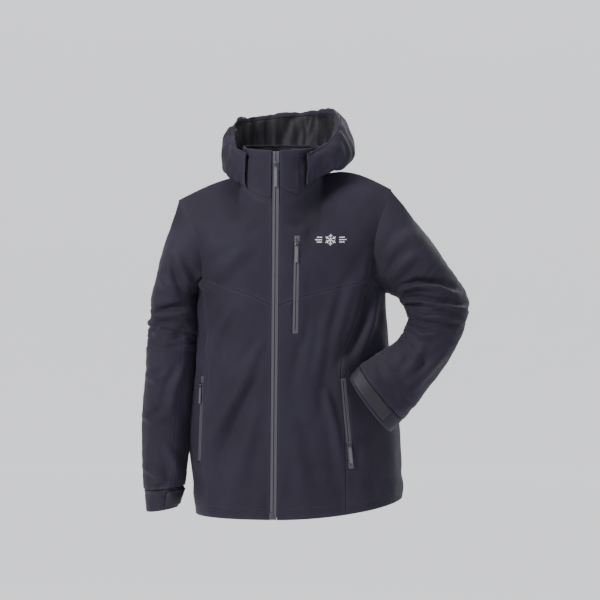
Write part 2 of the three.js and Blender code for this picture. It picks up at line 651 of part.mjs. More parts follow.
const CUFF_TAB = { right: [108, 216], left: [54, 180] }; // from the sewn end to the loose end, round the cuff
for (const side of ['right', 'left']) {
  const face = sleeveFace(side);
  const gap = 0.0006;
  const tube = (name, s0, s1, rows, front = 0, back = SHELL) => {
    add(`${side}_${name}`, layer(face, PHIS, steps(s0 + gap, s1 - gap, rows), front, back, true), 'cloth');
  };
  tube('upper_sleeve', 0, ELBOW.from, 4);
  tube('elbow', ELBOW.from, ELBOW.to, 4);
  tube('lower_sleeve', ELBOW.to, CUFF_FROM, 4);
  tube('cuff', CUFF_FROM, 1, 2, 1.5, SHELL);
  const [sewn, loose] = CUFF_TAB[side];
  const tabRows = steps(lerp(CUFF_FROM, 1, 0.2), lerp(CUFF_FROM, 1, 0.85), 2);
  const step = 360 / SLEEVE_SEGMENTS;
  const round = (a, b) => steps(a, b, (b - a) / step);
  const tab = layer(face, round(sewn, loose), tabRows, -1.9, 0);
  add(`${side}_cuff_tab`, tab, 'rubber');
  const patch = layer(face, round(sewn + 3 * step, loose + 2 * step), tabRows, 0.35, 1.15);
  add(`${side}_cuff_loop_patch`, patch, 'lining');
}

export default jacket;
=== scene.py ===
"""A hooded, insulated ski jacket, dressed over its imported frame: cloth panels, lining, zips and trim."""
from __future__ import annotations

import logging
import math
from collections.abc import Callable, Sequence
from dataclasses import dataclass, field
from enum import Enum

import bmesh
import bpy
import numpy as np
from mathutils import Matrix, Vector


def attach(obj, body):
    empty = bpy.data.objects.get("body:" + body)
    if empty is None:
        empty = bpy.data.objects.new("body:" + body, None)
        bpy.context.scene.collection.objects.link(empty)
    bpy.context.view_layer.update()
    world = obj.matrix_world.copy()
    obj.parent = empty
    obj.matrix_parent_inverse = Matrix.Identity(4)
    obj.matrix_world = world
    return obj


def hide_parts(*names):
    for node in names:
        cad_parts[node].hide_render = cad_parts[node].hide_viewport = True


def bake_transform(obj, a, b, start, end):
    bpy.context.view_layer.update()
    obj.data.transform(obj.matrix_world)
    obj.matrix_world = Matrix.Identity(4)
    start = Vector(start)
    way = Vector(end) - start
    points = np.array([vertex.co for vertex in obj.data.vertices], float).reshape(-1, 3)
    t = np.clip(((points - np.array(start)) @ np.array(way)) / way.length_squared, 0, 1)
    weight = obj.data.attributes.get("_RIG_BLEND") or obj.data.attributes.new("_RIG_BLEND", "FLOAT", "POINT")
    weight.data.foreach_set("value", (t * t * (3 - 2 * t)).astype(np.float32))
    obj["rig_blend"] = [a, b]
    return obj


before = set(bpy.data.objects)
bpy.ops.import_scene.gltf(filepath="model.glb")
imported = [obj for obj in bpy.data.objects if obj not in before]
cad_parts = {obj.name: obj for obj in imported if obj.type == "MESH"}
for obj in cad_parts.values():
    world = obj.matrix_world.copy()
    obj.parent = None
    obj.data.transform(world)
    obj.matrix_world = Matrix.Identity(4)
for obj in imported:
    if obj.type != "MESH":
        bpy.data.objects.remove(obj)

LOG = logging.getLogger("jacket")
MM = 0.001
Array = np.ndarray


# ------------------------------------------------------------------ numbers and curves
def lerp(a: float | Array, b: float | Array, s: float | Array) -> float | Array:
    """Straight blend from a, at s = 0, to b, at s = 1."""
    return a + (b - a) * s


def smooth(x: float | Array, low: float = 0.0, high: float = 1.0) -> float | Array:
    """Smooth step from 0 at low to 1 at high."""
    s = np.clip((np.asarray(x, float) - low) / (high - low), 0.0, 1.0)
    return s * s * (3.0 - 2.0 * s)


def unit(v: Array) -> Array:
    """Vectors along the last axis, made one long."""
    return v / np.maximum(np.linalg.norm(v, axis=-1, keepdims=True), 1e-12)


def chordal(points: Array, t: Array) -> Array:
    """Points on curves through control points, spaced by their chords.

    Args:
        points: control points, shape (controls, curves, 3).
        t: place on each curve, 0 to 1, one per curve.

    Returns:
        One point for each curve, shape (curves, 3).
    """
    last = len(points) - 1
    padded = np.concatenate([[2 * points[0] - points[1]], points, [2 * points[-1] - points[-2]]])
    span = np.clip(np.floor(t * last).astype(int), 0, last - 1)
    w = (t * last - span)[:, None]
    row = np.arange(points.shape[1])
    p0, p1, p2, p3 = (padded[span + k, row] for k in range(4))
    d0, d1, d2 = (np.linalg.norm(b - a, axis=1)[:, None] for a, b in ((p0, p1), (p1, p2), (p2, p3)))
    d1 = np.where(d1 < 1e-4, 1.0, d1)
    d0 = np.where(d0 < 1e-4, d1, d0)
    d2 = np.where(d2 < 1e-4, d1, d2)
    m1 = ((p1 - p0) / d0 - (p2 - p0) / (d0 + d1) + (p2 - p1) / d1) * d1
    m2 = ((p2 - p1) / d1 - (p3 - p1) / (d1 + d2) + (p3 - p2) / d2) * d1
    return (
        p1
        + m1 * w
        + (-3 * p1 + 3 * p2 - 2 * m1 - m2) * w**2
        + (2 * p1 - 2 * p2 + m1 + m2) * w**3
    )


def wander(seed: int, *coords: Array) -> Array:
    """Slow, repeatable unevenness between about -1 and 1, as a sum of tilted waves.

    Args:
        seed: picks the waves.
        coords: coordinates, each measured in wavelengths.

    Returns:
        The value at each place.
    """
    rng = np.random.default_rng(seed)
    total = np.zeros(np.broadcast(*coords).shape)
    for _ in range(9):
        turn = rng.normal(size=len(coords))
        turn *= 2 * math.pi * rng.uniform(0.55, 1.5) / np.linalg.norm(turn)
        total = total + np.sin(sum(k * c for k, c in zip(turn, coords)) + rng.uniform(0, 2 * math.pi))
    return total / 4.2


@dataclass
class Lattice:
    """A surface held as a grid of points that is read between its points."""

    points: Array
    low: tuple[float, float]
    high: tuple[float, float]
    ring: bool = False

    def read(self, u: Array, v: Array) -> Array:
        """Points of the surface, by cubic interpolation.

        Args:
            u: first coordinate of each place.
            v: second coordinate of each place.

        Returns:
            The points, with a last axis of 3.
        """
        nu, nv = self.points.shape[:2]
        x = (np.asarray(u, float) - self.low[0]) / (self.high[0] - self.low[0]) * (nu - 1)
        y = np.clip((np.asarray(v, float) - self.low[1]) / (self.high[1] - self.low[1]) * (nv - 1), 0, nv - 1)
        if not self.ring:
            x = np.clip(x, 0, nu - 1)
        i, j = np.floor(x).astype(int), np.minimum(np.floor(y).astype(int), nv - 2)
        fx, fy = (x - i)[..., None], (y - j)[..., None]

        def column(k: int) -> Array:
            """Values on one column beside each place, read along the rows."""
            c = (i + k) % (nu - 1) if self.ring else np.clip(i + k, 0, nu - 1)
            rows = [self.points[c, np.clip(j + m, 0, nv - 1)] for m in (-1, 0, 1, 2)]
            return cubic(rows, fy)

        return cubic([column(k) for k in (-1, 0, 1, 2)], fx)


def cubic(p: Sequence[Array], f: Array) -> Array:
    """Catmull-Rom value between the middle two of four values."""
    a = 2 * p[1]
    b = p[2] - p[0]
    c = 2 * p[0] - 5 * p[1] + 4 * p[2] - p[3]
    d = -p[0] + 3 * p[1] - 3 * p[2] + p[3]
    return 0.5 * (a + b * f + c * f**2 + d * f**3)


def face_normals(points: Array, ring: bool = False) -> Array:
    """Normals of a grid of points, along rows crossed with columns."""
    if ring:
        du = np.roll(points, -1, 0) - np.roll(points, 1, 0)
    else:
        du = np.gradient(points, axis=0)
    dv = np.gradient(points, axis=1)
    return unit(np.cross(du, dv))


# ------------------------------------------------------------------ meshes
def mesh_object(
    name: str, verts: Array, faces: Sequence[Sequence[int]] | Array, scale: float = MM
) -> bpy.types.Object:
    """A new object at the origin from vertices in millimetres.

    Args:
        name: the piece's name.
        verts: vertices, millimetres.
        faces: vertex numbers of each face.
        scale: size of a millimetre in the object, 1 while it is still to be seated.

    Returns:
        The linked object, with smooth faces.
    """
    mesh = bpy.data.meshes.new(name)
    mesh.from_pydata((np.asarray(verts, float) * scale).tolist(), [], np.asarray(faces).tolist()
                     if isinstance(faces, np.ndarray) else [list(f) for f in faces])
    mesh.polygons.foreach_set("use_smooth", [True] * len(mesh.polygons))
    mesh.update()
    obj = bpy.data.objects.new(name, mesh)
    bpy.context.scene.collection.objects.link(obj)
    return obj


def point_attribute(obj: bpy.types.Object, name: str, values: Array) -> None:
    """Stores one number for each vertex under a name that a material can read."""
    layer = obj.data.attributes.new(name, "FLOAT", "POINT")
    layer.data.foreach_set("value", np.asarray(values, np.float32).ravel())


def grid_faces(columns: int, rows: int, ring: bool, first: int = 0, flip: bool = False) -> Array:
    """Quads between neighbouring points of a grid that is stored column by column."""
    spans = columns if ring else columns - 1
    i, j = np.meshgrid(np.arange(spans), np.arange(rows - 1), indexing="ij")
    n = (i + 1) % columns
    quads = np.stack([i * rows + j, n * rows + j, n * rows + j + 1, i * rows + j + 1], -1).reshape(-1, 4)
    return (quads[:, ::-1] if flip else quads) + first


def closed_sheet(
    name: str, outer: Array, inner: Array, ring: bool = False, near_edge: Array | None = None
) -> bpy.types.Object:
    """A sheet of cloth with a front, a back and turned-in edges, unwrapped along its own threads.

    Args:
        name: the piece's name.
        outer: grid of points on the front, (columns, rows, 3), millimetres.
        inner: the same grid on the back.
        ring: whether the last column joins the first.
        near_edge: how near each front point is to a seam, 0 to 1.

    Returns:
        The object, with a UV map in metres and the attribute seam_near.
    """
    columns, rows = outer.shape[:2]
    count = columns * rows
    quads = [grid_faces(columns, rows, ring), grid_faces(columns, rows, ring, count, True)]
    i = np.arange(columns if ring else columns - 1)
    n = (i + 1) % columns
    for row, turn in ((0, False), (rows - 1, True)):
        rim = np.stack([i * rows + row, count + i * rows + row, count + n * rows + row, n * rows + row], -1)
        quads.append(rim[:, ::-1] if turn else rim)
    if not ring:
        j = np.arange(rows - 1)
        for col, turn in ((0, False), (columns - 1, True)):
            base = col * rows
            side = np.stack([base + j, base + j + 1, count + base + j + 1, count + base + j], -1)
            quads.append(side[:, ::-1] if turn else side)
    verts = np.concatenate([outer.reshape(-1, 3), inner.reshape(-1, 3)])
    obj = mesh_object(name, verts, np.concatenate(quads))
    outwards(obj)
    along = np.cumsum(np.pad(np.linalg.norm(np.diff(outer, axis=1), axis=2), ((0, 0), (1, 0))), 1)
    middle = outer[:, rows // 2]
    across = np.cumsum(np.pad(np.linalg.norm(np.diff(middle, axis=0), axis=1), (1, 0)))
    u = np.repeat(across[:, None], rows, 1)
    uv = np.tile(np.stack([u, along], -1).reshape(-1, 2), (2, 1)) * MM
    corners = np.empty(len(obj.data.loops), int)
    obj.data.loops.foreach_get("vertex_index", corners)
    layer = obj.data.uv_layers.new(name="cloth")
    layer.data.foreach_set("uv", uv[corners].astype(np.float32).ravel())
    edge = np.zeros((columns, rows)) if near_edge is None else near_edge
    point_attribute(obj, "seam_near", np.tile(edge.reshape(-1), 2))
    return obj


def outwards(obj: bpy.types.Object) -> None:
    """Turns every face of a closed mesh to face out."""
    bm = bmesh.new()
    bm.from_mesh(obj.data)
    if bm.calc_volume(signed=True) < 0:
        bmesh.ops.reverse_faces(bm, faces=bm.faces)
    bm.to_mesh(obj.data)
    bm.free()


def bake(obj: bpy.types.Object) -> bpy.types.Object:
    """Replaces an object's mesh by its evaluated mesh and drops its modifiers."""
    graph = bpy.context.evaluated_depsgraph_get()
    graph.update()
    made = bpy.data.meshes.new_from_object(obj.evaluated_get(graph), depsgraph=graph)
    obj.modifiers.clear()
    obj.data = made
    return obj


def join_meshes(name: str, objects: Sequence[bpy.types.Object]) -> bpy.types.Object:
    """One object from several, each keeping its own closed shells.

    Args:
        name: the new piece's name.
        objects: the objects to join, which are removed.

    Returns:
        The joined object.
    """
    bm = bmesh.new()
    for obj in objects:
        bm.from_mesh(obj.data)
        bpy.data.objects.remove(obj)
    mesh = bpy.data.meshes.new(name)
    bm.to_mesh(mesh)
    bm.free()
    mesh.polygons.foreach_set("use_smooth", [True] * len(mesh.polygons))
    obj = bpy.data.objects.new(name, mesh)
    bpy.context.scene.collection.objects.link(obj)
    return obj


# ------------------------------------------------------------------ the jacket's form
class Side(Enum):
    """The wearer's sides, with the sign of X on each."""

    RIGHT = -1
    LEFT = 1

    @property
    def word(self) -> str:
        """The side's name as it stands in piece names."""
        return self.name.lower()


@dataclass(frozen=True)
class Level:
    """One level of the trunk: half widths to each side, depth of the back, and lift at the left side."""

    z: float
    right: float
    left: float
    back: float
    rise: float = 0.0


@dataclass(frozen=True)
class Fold:
    """A crease or ridge in the cloth, drawn in the front view as (x, z) in millimetres."""

    path: tuple[tuple[float, float], ...]
    height: float
    width: float
    lean: float = 0.0

    def lift(self, x: Array, z: Array) -> Array:
        """How far the fold lifts the cloth at each place, fading towards its ends."""
        best = np.full(x.shape, 1e9)
        value = np.zeros(x.shape)
        pts = np.array(self.path, float)
        runs = np.linalg.norm(np.diff(pts, axis=0), axis=1)
        total, done = runs.sum(), 0.0
        for a, b, run in zip(pts[:-1], pts[1:], runs):
            d = (b - a) / run
            rx, rz = x - a[0], z - a[1]
            s = np.clip(rx * d[0] + rz * d[1], 0, run)
            ox, oz = rx - s * d[0], rz - s * d[1]
            far = np.hypot(ox, oz)
            side = np.sign(d[0] * oz - d[1] * ox)
            share = (done + s) / total
            ends = np.sin(math.pi * np.clip(share * 0.94 + 0.03, 0, 1)) ** 0.7
            w = self.width * (0.75 + 0.5 * share)
            q = far / w
            bump = np.exp(-(q**2)) - 0.55 * np.exp(-((q - 1.9) ** 2) / 0.8) * (1 + self.lean * side)
            closer = far < best
            value = np.where(closer, bump * ends, value)
            best = np.where(closer, far, best)
            done += run
        return self.height * value


@dataclass
class Form:
    """The worn shape of the jacket: the same sizes and rules as its frame, in millimetres."""

    hem_z: float = -714.0
    collar_top: float = 72.0
    neck_front: float = -41.0
    zip_top_y: float = -100.0
    zip_hem_y: float = -158.0
    roundness: float = 2.35
    neck_angle: float = 24.0
    armhole_angle: float = 62.0
    levels: tuple[Level, ...] = (
        Level(-714, 184, 262, 128, 34),
        Level(-560, 199, 257, 118, 6),
        Level(-400, 188, 240, 110),
        Level(-235, 180, 226, 118),
        Level(-125, 192, 226, 114),
    )
    underarm_t: float = 3 / 5
    corner_t: float = 3.34 / 5
    yoke_zip_t: float = 2.84 / 5
    back_yoke_t: float = 3.8 / 5
    princess: dict[Side, float] = field(default_factory=lambda: {Side.LEFT: 34.0, Side.RIGHT: 49.0})
    back_princess: float = 132.0
    shoulder_lift: dict[Side, float] = field(default_factory=lambda: {Side.LEFT: 20.0, Side.RIGHT: 7.0})
    sleeves: dict[Side, tuple[tuple[float, ...], ...]] = field(
        default_factory=lambda: {
            Side.RIGHT: (
                (-262, -165, -178, -252, -4, 74),
                (-281, -258, -175, -284, -12, 70),
                (-285, -312, -175, -322, -18, 68),
                (-290, -366, -177, -364, -24, 66),
                (-297, -500, -188, -498, -34, 61),
                (-294, -660, -206, -652, -44, 52),
                (-289, -708, -218, -698, -46, 50),
            ),
            Side.LEFT: (
                (311, -108, 247, -244, 2, 74),
                (362, -176, 262, -262, -4, 68),
                (407, -266, 276, -290, -22, 64),
                (384, -346, 262, -324, -50, 60),
                (322, -440, 212, -364, -106, 56),
                (276, -496, 184, -384, -146, 52),
                (252, -522, 163, -408, -162, 52),
            ),
        }
    )

    def __post_init__(self) -> None:
        """Sets the fixed points of the neck and shoulders."""
        self.neck_point = np.array([88.0, 8.0, 15.0])
        self.neck_back = np.array([0.0, 80.0, 24.0])
        self.tips = {Side.LEFT: np.array([238.0, 6.0, -13.0]), Side.RIGHT: np.array([-224.0, 6.0, -37.0])}

    def zip_y(self, z: Array | float) -> Array | float:
        """Y of the front zip's straight line at a height."""
        slope = (self.zip_hem_y - self.zip_top_y) / (self.collar_top - self.hem_z)
        return self.zip_top_y + slope * (self.collar_top - z)

    def section(self, level: Level, angle: Array) -> Array:
        """Points of one level of the trunk at angles from the zip towards the wearer's left."""
        turn = np.mod(angle, 360.0)
        left = turn <= 180.0
        a = np.radians(np.where(left, turn, 360.0 - turn))
        s, c = np.sin(a), np.cos(a)
        k = (s**self.roundness + np.abs(c) ** self.roundness) ** (-1 / self.roundness)
        width = np.where(left, level.left, -level.right)
        depth = np.where(c > 0, self.zip_y(level.z), -level.back)
        rise = np.where(left, level.rise * s * s, 0.0)
        return np.stack([width * s * k, depth * c * k, level.z + rise], -1)

    def top(self, angle: Array) -> Array:
        """Points of the trunk's top edge: collar seam, shoulder seam and shoulder tip."""
        turn = np.mod(angle, 360.0)
        sign = np.where(turn <= 180.0, 1.0, -1.0)
        around = np.where(turn <= 180.0, turn, 360.0 - turn)
        front = around <= 90.0
        away = np.where(front, around, 180.0 - around)
        corner = self.neck_point * np.stack([sign, np.ones_like(sign), np.ones_like(sign)], -1)
        tip = np.where((sign > 0)[:, None], self.tips[Side.LEFT], self.tips[Side.RIGHT])
        along = np.clip((away - self.neck_angle) / (self.armhole_angle - self.neck_angle), 0, 1)[:, None]
        shoulder = corner + (tip - corner) * along
        fullness = np.where(sign > 0, self.shoulder_lift[Side.LEFT], self.shoulder_lift[Side.RIGHT])
        shoulder[:, 2] += fullness * np.sin(math.pi * along[:, 0] ** 0.8)
        middle = np.where(front[:, None], [0.0, self.zip_y(self.neck_front), self.neck_front], self.neck_back)
        bend = np.radians(90 * np.clip(away / self.neck_angle, 0, 1))
        cos = np.cos(bend)
        neck = np.stack(
            [
                corner[:, 0] * np.sin(bend),
                lerp(corner[:, 1], middle[:, 1], cos),
                lerp(corner[:, 2], middle[:, 2], np.maximum(cos, 0) ** 1.4),
            ],
            -1,
        )
        return np.where((away <= self.neck_angle)[:, None], neck, shoulder)

    def trunk(self, angle: Array, t: Array) -> Array:
        """Points of the smooth trunk, t from 0 at the hem to 1 at the top edge."""
        shape = np.broadcast(angle, t).shape
        a = np.broadcast_to(angle, shape).ravel().astype(float)
        s = np.clip(np.broadcast_to(t, shape).ravel().astype(float), 0, 1)
        controls = np.stack([self.section(level, a) for level in self.levels] + [self.top(a)])
        return chordal(controls, s).reshape(*shape, 3)

    def princess_angle(self, side: Side, t: Array) -> Array:
        """Angle, away from the zip, of the seam between front and side panel."""
        return lerp(self.princess[side], self.armhole_angle, smooth((t - 0.4) / (self.corner_t - 0.4)))

    def rear_angle(self, t: Array) -> Array:
        """Angle, away from the zip, of the seam between side and back panel."""
        return lerp(self.back_princess, 180 - self.armhole_angle, smooth((t - 0.3) / (self.corner_t - 0.3)))

    def yoke_seam(self, away: Array) -> Array:
        """Place of the front yoke's seam on a column of the trunk."""
        return lerp(self.yoke_zip_t, self.corner_t, np.clip(away / self.armhole_angle, 0, 1) ** 0.9)

    def underarm(self, away: Array) -> Array:
        """Place of the armhole's lower edge on a column of the trunk."""
        across = np.clip((away - self.armhole_angle) / (180 - 2 * self.armhole_angle), 0, 1)
        return self.corner_t - (self.corner_t - self.underarm_t) * np.sin(math.pi * across)

    def armhole(self, side: Side, phi: Array, cloth: Lattice) -> Array:
        """Points of the armhole: phi is 0 at the shoulder tip, 90 in front and 180 under the arm."""
        low, high = self.armhole_angle, 180 - self.armhole_angle
        front = lerp(1.0, self.corner_t, np.clip(phi / 120, 0, 1))
        rear = lerp(self.corner_t, 1.0, np.clip((phi - 240) / 120, 0, 1))
        angle = np.where(phi <= 120, low, np.where(phi >= 240, high, lerp(low, high, (phi - 120) / 120)))
        t = np.where(phi <= 120, front, np.where(phi >= 240, rear, self.underarm(angle)))
        return cloth.read(np.mod(side.value * angle, 360.0), t)

    def collar(self, theta: Array, v: Array) -> Array:
        """Points of the standing collar, theta round the neck from the zip, v upwards."""
        shape = np.broadcast(theta, v).shape
        turn = np.mod(np.broadcast_to(theta, shape).ravel().astype(float), 360.0)
        height = np.broadcast_to(v, shape).ravel()[:, None]
        sign = np.where(turn <= 180, 1.0, -1.0)
        around = np.where(turn <= 180, turn, 360 - turn)
        share = self.neck_angle / 90
        angle = np.where(around <= 90, around * share, 180 - (180 - around) * share)
        foot = self.top(angle)
        bend = np.radians(around)
        depth = np.where(np.cos(bend) > 0, self.zip_top_y, 72.0)
        rim = np.stack(
            [
                82 * np.sin(bend),
                lerp(2.0, depth, np.abs(np.cos(bend))),
                self.collar_top + 10 * smooth(around / 120),
            ],
            -1,
        )
        point = foot + (rim - foot) * height
        point[:, 0] *= sign
        return point.reshape(*shape, 3)


# ------------------------------------------------------------------ the draped cloth
def ridges(folds: Sequence[Fold], x: Array, z: Array) -> Array:
    """Sum of the lifts of several folds."""
    total = np.zeros(x.shape)
    for fold in folds:
        total = total + fold.lift(x, z)
    return total


@dataclass
class Drape:
    """Hangs the cloth on the form: the trunk and sleeves as lattices with their folds."""

    form: Form
    zips: Sequence[Seat]
    tuck: float = 1.5
    trunk_folds: tuple[Fold, ...] = (
        Fold(((-44, -392), (-96, -470), (-132, -540), (-158, -600)), 10.8, 13, 0.5),
        Fold(((-92, -262), (-128, -318), (-150, -380)), 6.9, 12, -0.4),
        Fold(((-20, -330), (-62, -395), (-88, -430)), 4.8, 11),
        Fold(((-60, -140), (-118, -182), (-160, -212)), 5.2, 14),
        Fold(((-182, -212), (-150, -222), (-120, -238)), 6.4, 8, 0.5),
        Fold(((196, -150), (172, -240), (146, -330), (128, -404)), 12.1, 13, 0.6),
        Fold(((168, -190), (142, -270), (116, -350), (100, -410)), 9.1, 11, 0.5),
        Fold(((128, -232), (104, -310), (84, -400), (74, -480)), 7.4, 11, 0.4),
        Fold(((84, -290), (66, -380), (50, -470)), 5.7, 11),
        Fold(((214, -236), (198, -300), (176, -360), (150, -400)), 9.8, 10, -0.5),
        Fold(((108, -442), (134, -520), (150, -600), (152, -660)), 9.1, 11, 0.5),
        Fold(((190, -560), (182, -620), (180, -690)), 6.1, 13),
        Fold(((-30, -470), (-62, -560), (-84, -650)), 5.2, 15),
        Fold(((40, -520), (58, -600), (62, -690)), 4.3, 15),
        Fold(((-176, -330), (-168, -400), (-170, -450)), 5.7, 9),
        Fold(((30, -60), (70, -78), (120, -84)), 3.4, 12),
        Fold(((-24, -66), (-66, -84), (-120, -86)), 3.4, 12),
    )
    back_folds: tuple[Fold, ...] = (
        Fold(((-150, -150), (-110, -240), (-90, -340)), 9.6, 15, 0.4),
        Fold(((160, -150), (120, -240), (96, -350)), 10.1, 15, -0.4),
        Fold(((-20, -180), (-34, -320), (-10, -440)), 6.9, 17),
        Fold(((60, -420), (30, -540), (40, -660)), 8.2, 17, 0.3),
        Fold(((-80, -430), (-110, -550), (-96, -670)), 8.2, 17, -0.3),
        Fold(((150, -400), (170, -520), (164, -650)), 7.4, 15),
        Fold(((-120, -60), (-40, -78), (50, -70), (130, -62)), 6.4, 13),
    )

    def trunk(self) -> Lattice:
        """The trunk's outer face, as a ring lattice of angle against t."""
        angles = np.linspace(0, 360, 361)
        ts = np.linspace(0, 1, 211)
        a, t = np.meshgrid(angles, ts, indexing="ij")
        points = self.form.trunk(a, t)
        normal = face_normals(points)
        x, z = points[..., 0], points[..., 2]
        front = smooth(-normal[..., 1], -0.1, 0.35)
        behind = smooth(normal[..., 1], -0.1, 0.35)
        lift = front * ridges(self.trunk_folds, x, z) + behind * ridges(self.back_folds, x, z)
        arc = x / 90
        lift += 1.8 * wander(11, arc, points[..., 1] / 90, z / 240)
        lift += 0.8 * wander(12, arc * 2.6, points[..., 1] / 50, z / 70)
        away = np.minimum(a, 360 - a)
        calm = smooth(away, 2.0, 14.0) * smooth(t, 0.0, 0.03) * (1 - smooth(t, 0.93, 1.0))
        lift = lift * calm + self.quilting(away, t)
        points = points + normal * lift[..., None]
        for seat in self.zips:
            points = self.flatten(points, seat)
        return Lattice(points, (0, 0), (360, 1), ring=True)

    @staticmethod
    def flatten(points: Array, seat: Seat, proud: float = 0.35) -> Array:
        """Lays the cloth flat beside a pocket zip, just proud of its tape."""
        place = np.array(seat.matrix())
        local = (points - place[:3, 3]) @ place[:3, :3]
        beside = 1 - smooth(np.abs(local[..., 0]), 8.0, 30.0)
        ends = smooth(local[..., 2], -26.0, -5.0) * (1 - smooth(local[..., 2], seat.length + 5, seat.length + 26))
        near = (np.abs(local[..., 1]) < 25).astype(float)
        shift = (-proud - local[..., 1]) * beside * ends * near
        return points + shift[..., None] * place[:3, 1]

    def quilting(self, away: Array, t: Array) -> Array:
        """Slight fullness of the fill between seams, so panels are not flat."""
        hem = 2.2 * np.exp(-(((t - 0.05) / 0.03) ** 2)) - 1.6 * np.exp(-(((t - 0.085) / 0.02) ** 2))
        return hem * smooth(away, 3.0, 8.0)

    def sleeve(self, side: Side, cloth: Lattice) -> Lattice:
        """A sleeve's outer face, as a ring lattice of phi against s."""
        form = self.form
        phis = np.linspace(0, 360, 109)
        ss = np.linspace(0, 1, 171)
        start = form.armhole(side, np.mod(phis, 360), cloth) - np.array([side.value * self.tuck, 0, 0])
        rings = [start]
        for ox, oz, ix, iz, y, depth in form.sleeves[side]:
            outer, inner = np.array([ox, y, oz]), np.array([ix, y, iz])
            middle, half = (outer + inner) / 2, (outer - inner) / 2
            c, s = np.cos(np.radians(phis))[:, None], np.sin(np.radians(phis))[:, None]
            rings.append(middle + half * c + np.array([0, -depth, 0]) * s)
        p, s = np.meshgrid(phis, ss, indexing="ij")
        controls = np.repeat(np.stack(rings)[:, :, None], len(ss), 2).reshape(len(rings), -1, 3)
        points = chordal(controls, s.ravel()).reshape(*p.shape, 3)
        normal = face_normals(points)
        centre = points[:-1].mean(0)
        flip = np.sign(np.sum(normal * (points - centre), -1).mean())
        normal = normal * flip
        lift = self.sleeve_lift(side, points, normal, p, s)
        calm = smooth(s, 0.0, 0.05) * (1 - smooth(s, 0.9, 0.94))
        lift = lift * calm
        lift[-1] = lift[0]
        return Lattice(points + normal * lift[..., None], (0, 0), (360, 1), ring=True)

    def sleeve_lift(self, side: Side, points: Array, normal: Array, p: Array, s: Array) -> Array:
        """How far the folds of a sleeve stand off it."""
        folds = SLEEVE_FOLDS[side]
        front = smooth(-normal[..., 1], -0.25, 0.3)
        x, z = points[..., 0], points[..., 2]
        lift = front * ridges(folds, x, z)
        seed = 30 if side is Side.RIGHT else 40
        turn = np.radians(p)
        cx, cy = np.cos(turn) * 1.1, np.sin(turn) * 1.1
        rumple = wander(seed, cx, cy, s * 9.0)
        fine = wander(seed + 1, cx * 1.7, cy * 1.7, s * 20.0)
        bend = np.exp(-(((s - 0.43) / 0.12) ** 2))
        crumple = 0.45 - np.abs(wander(seed + 2, cx * 0.8, cy * 0.8, s * 26.0))
        lift += (0.7 + 3.2 * bend + 0.8 * smooth(s, 0.6, 0.8)) * crumple
        lift += (1 - 0.35 * front) * (1.6 + 2.4 * bend) * rumple + (0.35 + 0.6 * bend) * fine
        return lift


SLEEVE_FOLDS: dict[Side, tuple[Fold, ...]] = {
    Side.RIGHT: (
        Fold(((-282, -300), (-254, -284), (-218, -280), (-190, -280)), 11.5, 7.6, 0.8),
        Fold(((-222, -150), (-204, -190), (-186, -222)), 9.2, 9.3, -0.5),
        Fold(((-284, -330), (-250, -318), (-214, -322)), 6.9, 8.5),
        Fold(((-290, -412), (-262, -420), (-236, -414)), 5.9, 7.6, 0.5),
        Fold(((-296, -500), (-264, -508), (-238, -500)), 5.9, 7.6, 0.5),
        Fold(((-204, -392), (-222, -440), (-232, -500)), 6.9, 9.3),
        Fold(((-240, -560), (-220, -600), (-214, -640)), 6.5, 9.3),
        Fold(((-292, -610), (-262, -622), (-236, -640)), 5.9, 7.6, 0.4),
        Fold(((-280, -660), (-252, -664), (-226, -656)), 6.5, 6.8, 0.5),
        Fold(((-262, -200), (-240, -216), (-206, -228)), 4.6, 11.9),
    ),
    Side.LEFT: (
        Fold(((262, -228), (300, -216), (346, -222), (380, -238)), 12.4, 6.1, 0.7),
        Fold(((262, -252), (310, -250), (362, -262), (402, -270)), 10.5, 5.5, 0.6),
        Fold(((272, -264), (320, -286), (366, -284), (404, -292)), 8.2, 5.5, -0.4),
        Fold(((276, -300), (312, -322), (350, -318)), 7.8, 5.5, 0.5),
        Fold(((266, -322), (290, -350), (306, -380)), 6.9, 5.5),
        Fold(((318, -330), (300, -372), (286, -410)), 5.5, 9.3),
        Fold(((360, -360), (320, -400), (286, -440)), 5.9, 10.2),
        Fold(((244, -206), (262, -180), (292, -150)), 7.8, 11.0, 0.4),
        Fold(((240, -150), (270, -120), (300, -110)), 4.6, 13.6),
        Fold(((230, -372), (250, -400), (282, -430)), 5.5, 8.5),
    ),
}


# ------------------------------------------------------------------ cutting and sewing
def spaced(length: float, step: float, fine: Sequence[float] = (0.0, 0.5, 1.2, 2.4, 4.6, 8.0)) -> Array:
    """Places from 0 to 1 along a length in millimetres, closer together beside both seams."""
    near = np.array([d for d in fine if d < length * 0.4])
    count = max(2, int(round((length - 2 * near[-1]) / step)))
    middle = np.linspace(near[-1], length - near[-1], count + 1)[1:-1]
    return np.concatenate([near, middle, (length - near)[::-1]]) / length


@dataclass(frozen=True)
class Cut:
    """The outline of one piece on a lattice: two side edges and two ends, as functions."""

    start: Callable[[Array], Array]
    stop: Callable[[Array], Array]
    low: Callable[[Array], Array]
    high: Callable[[Array], Array]


def level(value: float) -> Callable[[Array], Array]:
    """An edge that stays at one value."""
    return lambda x: np.full(np.shape(x), float(value))


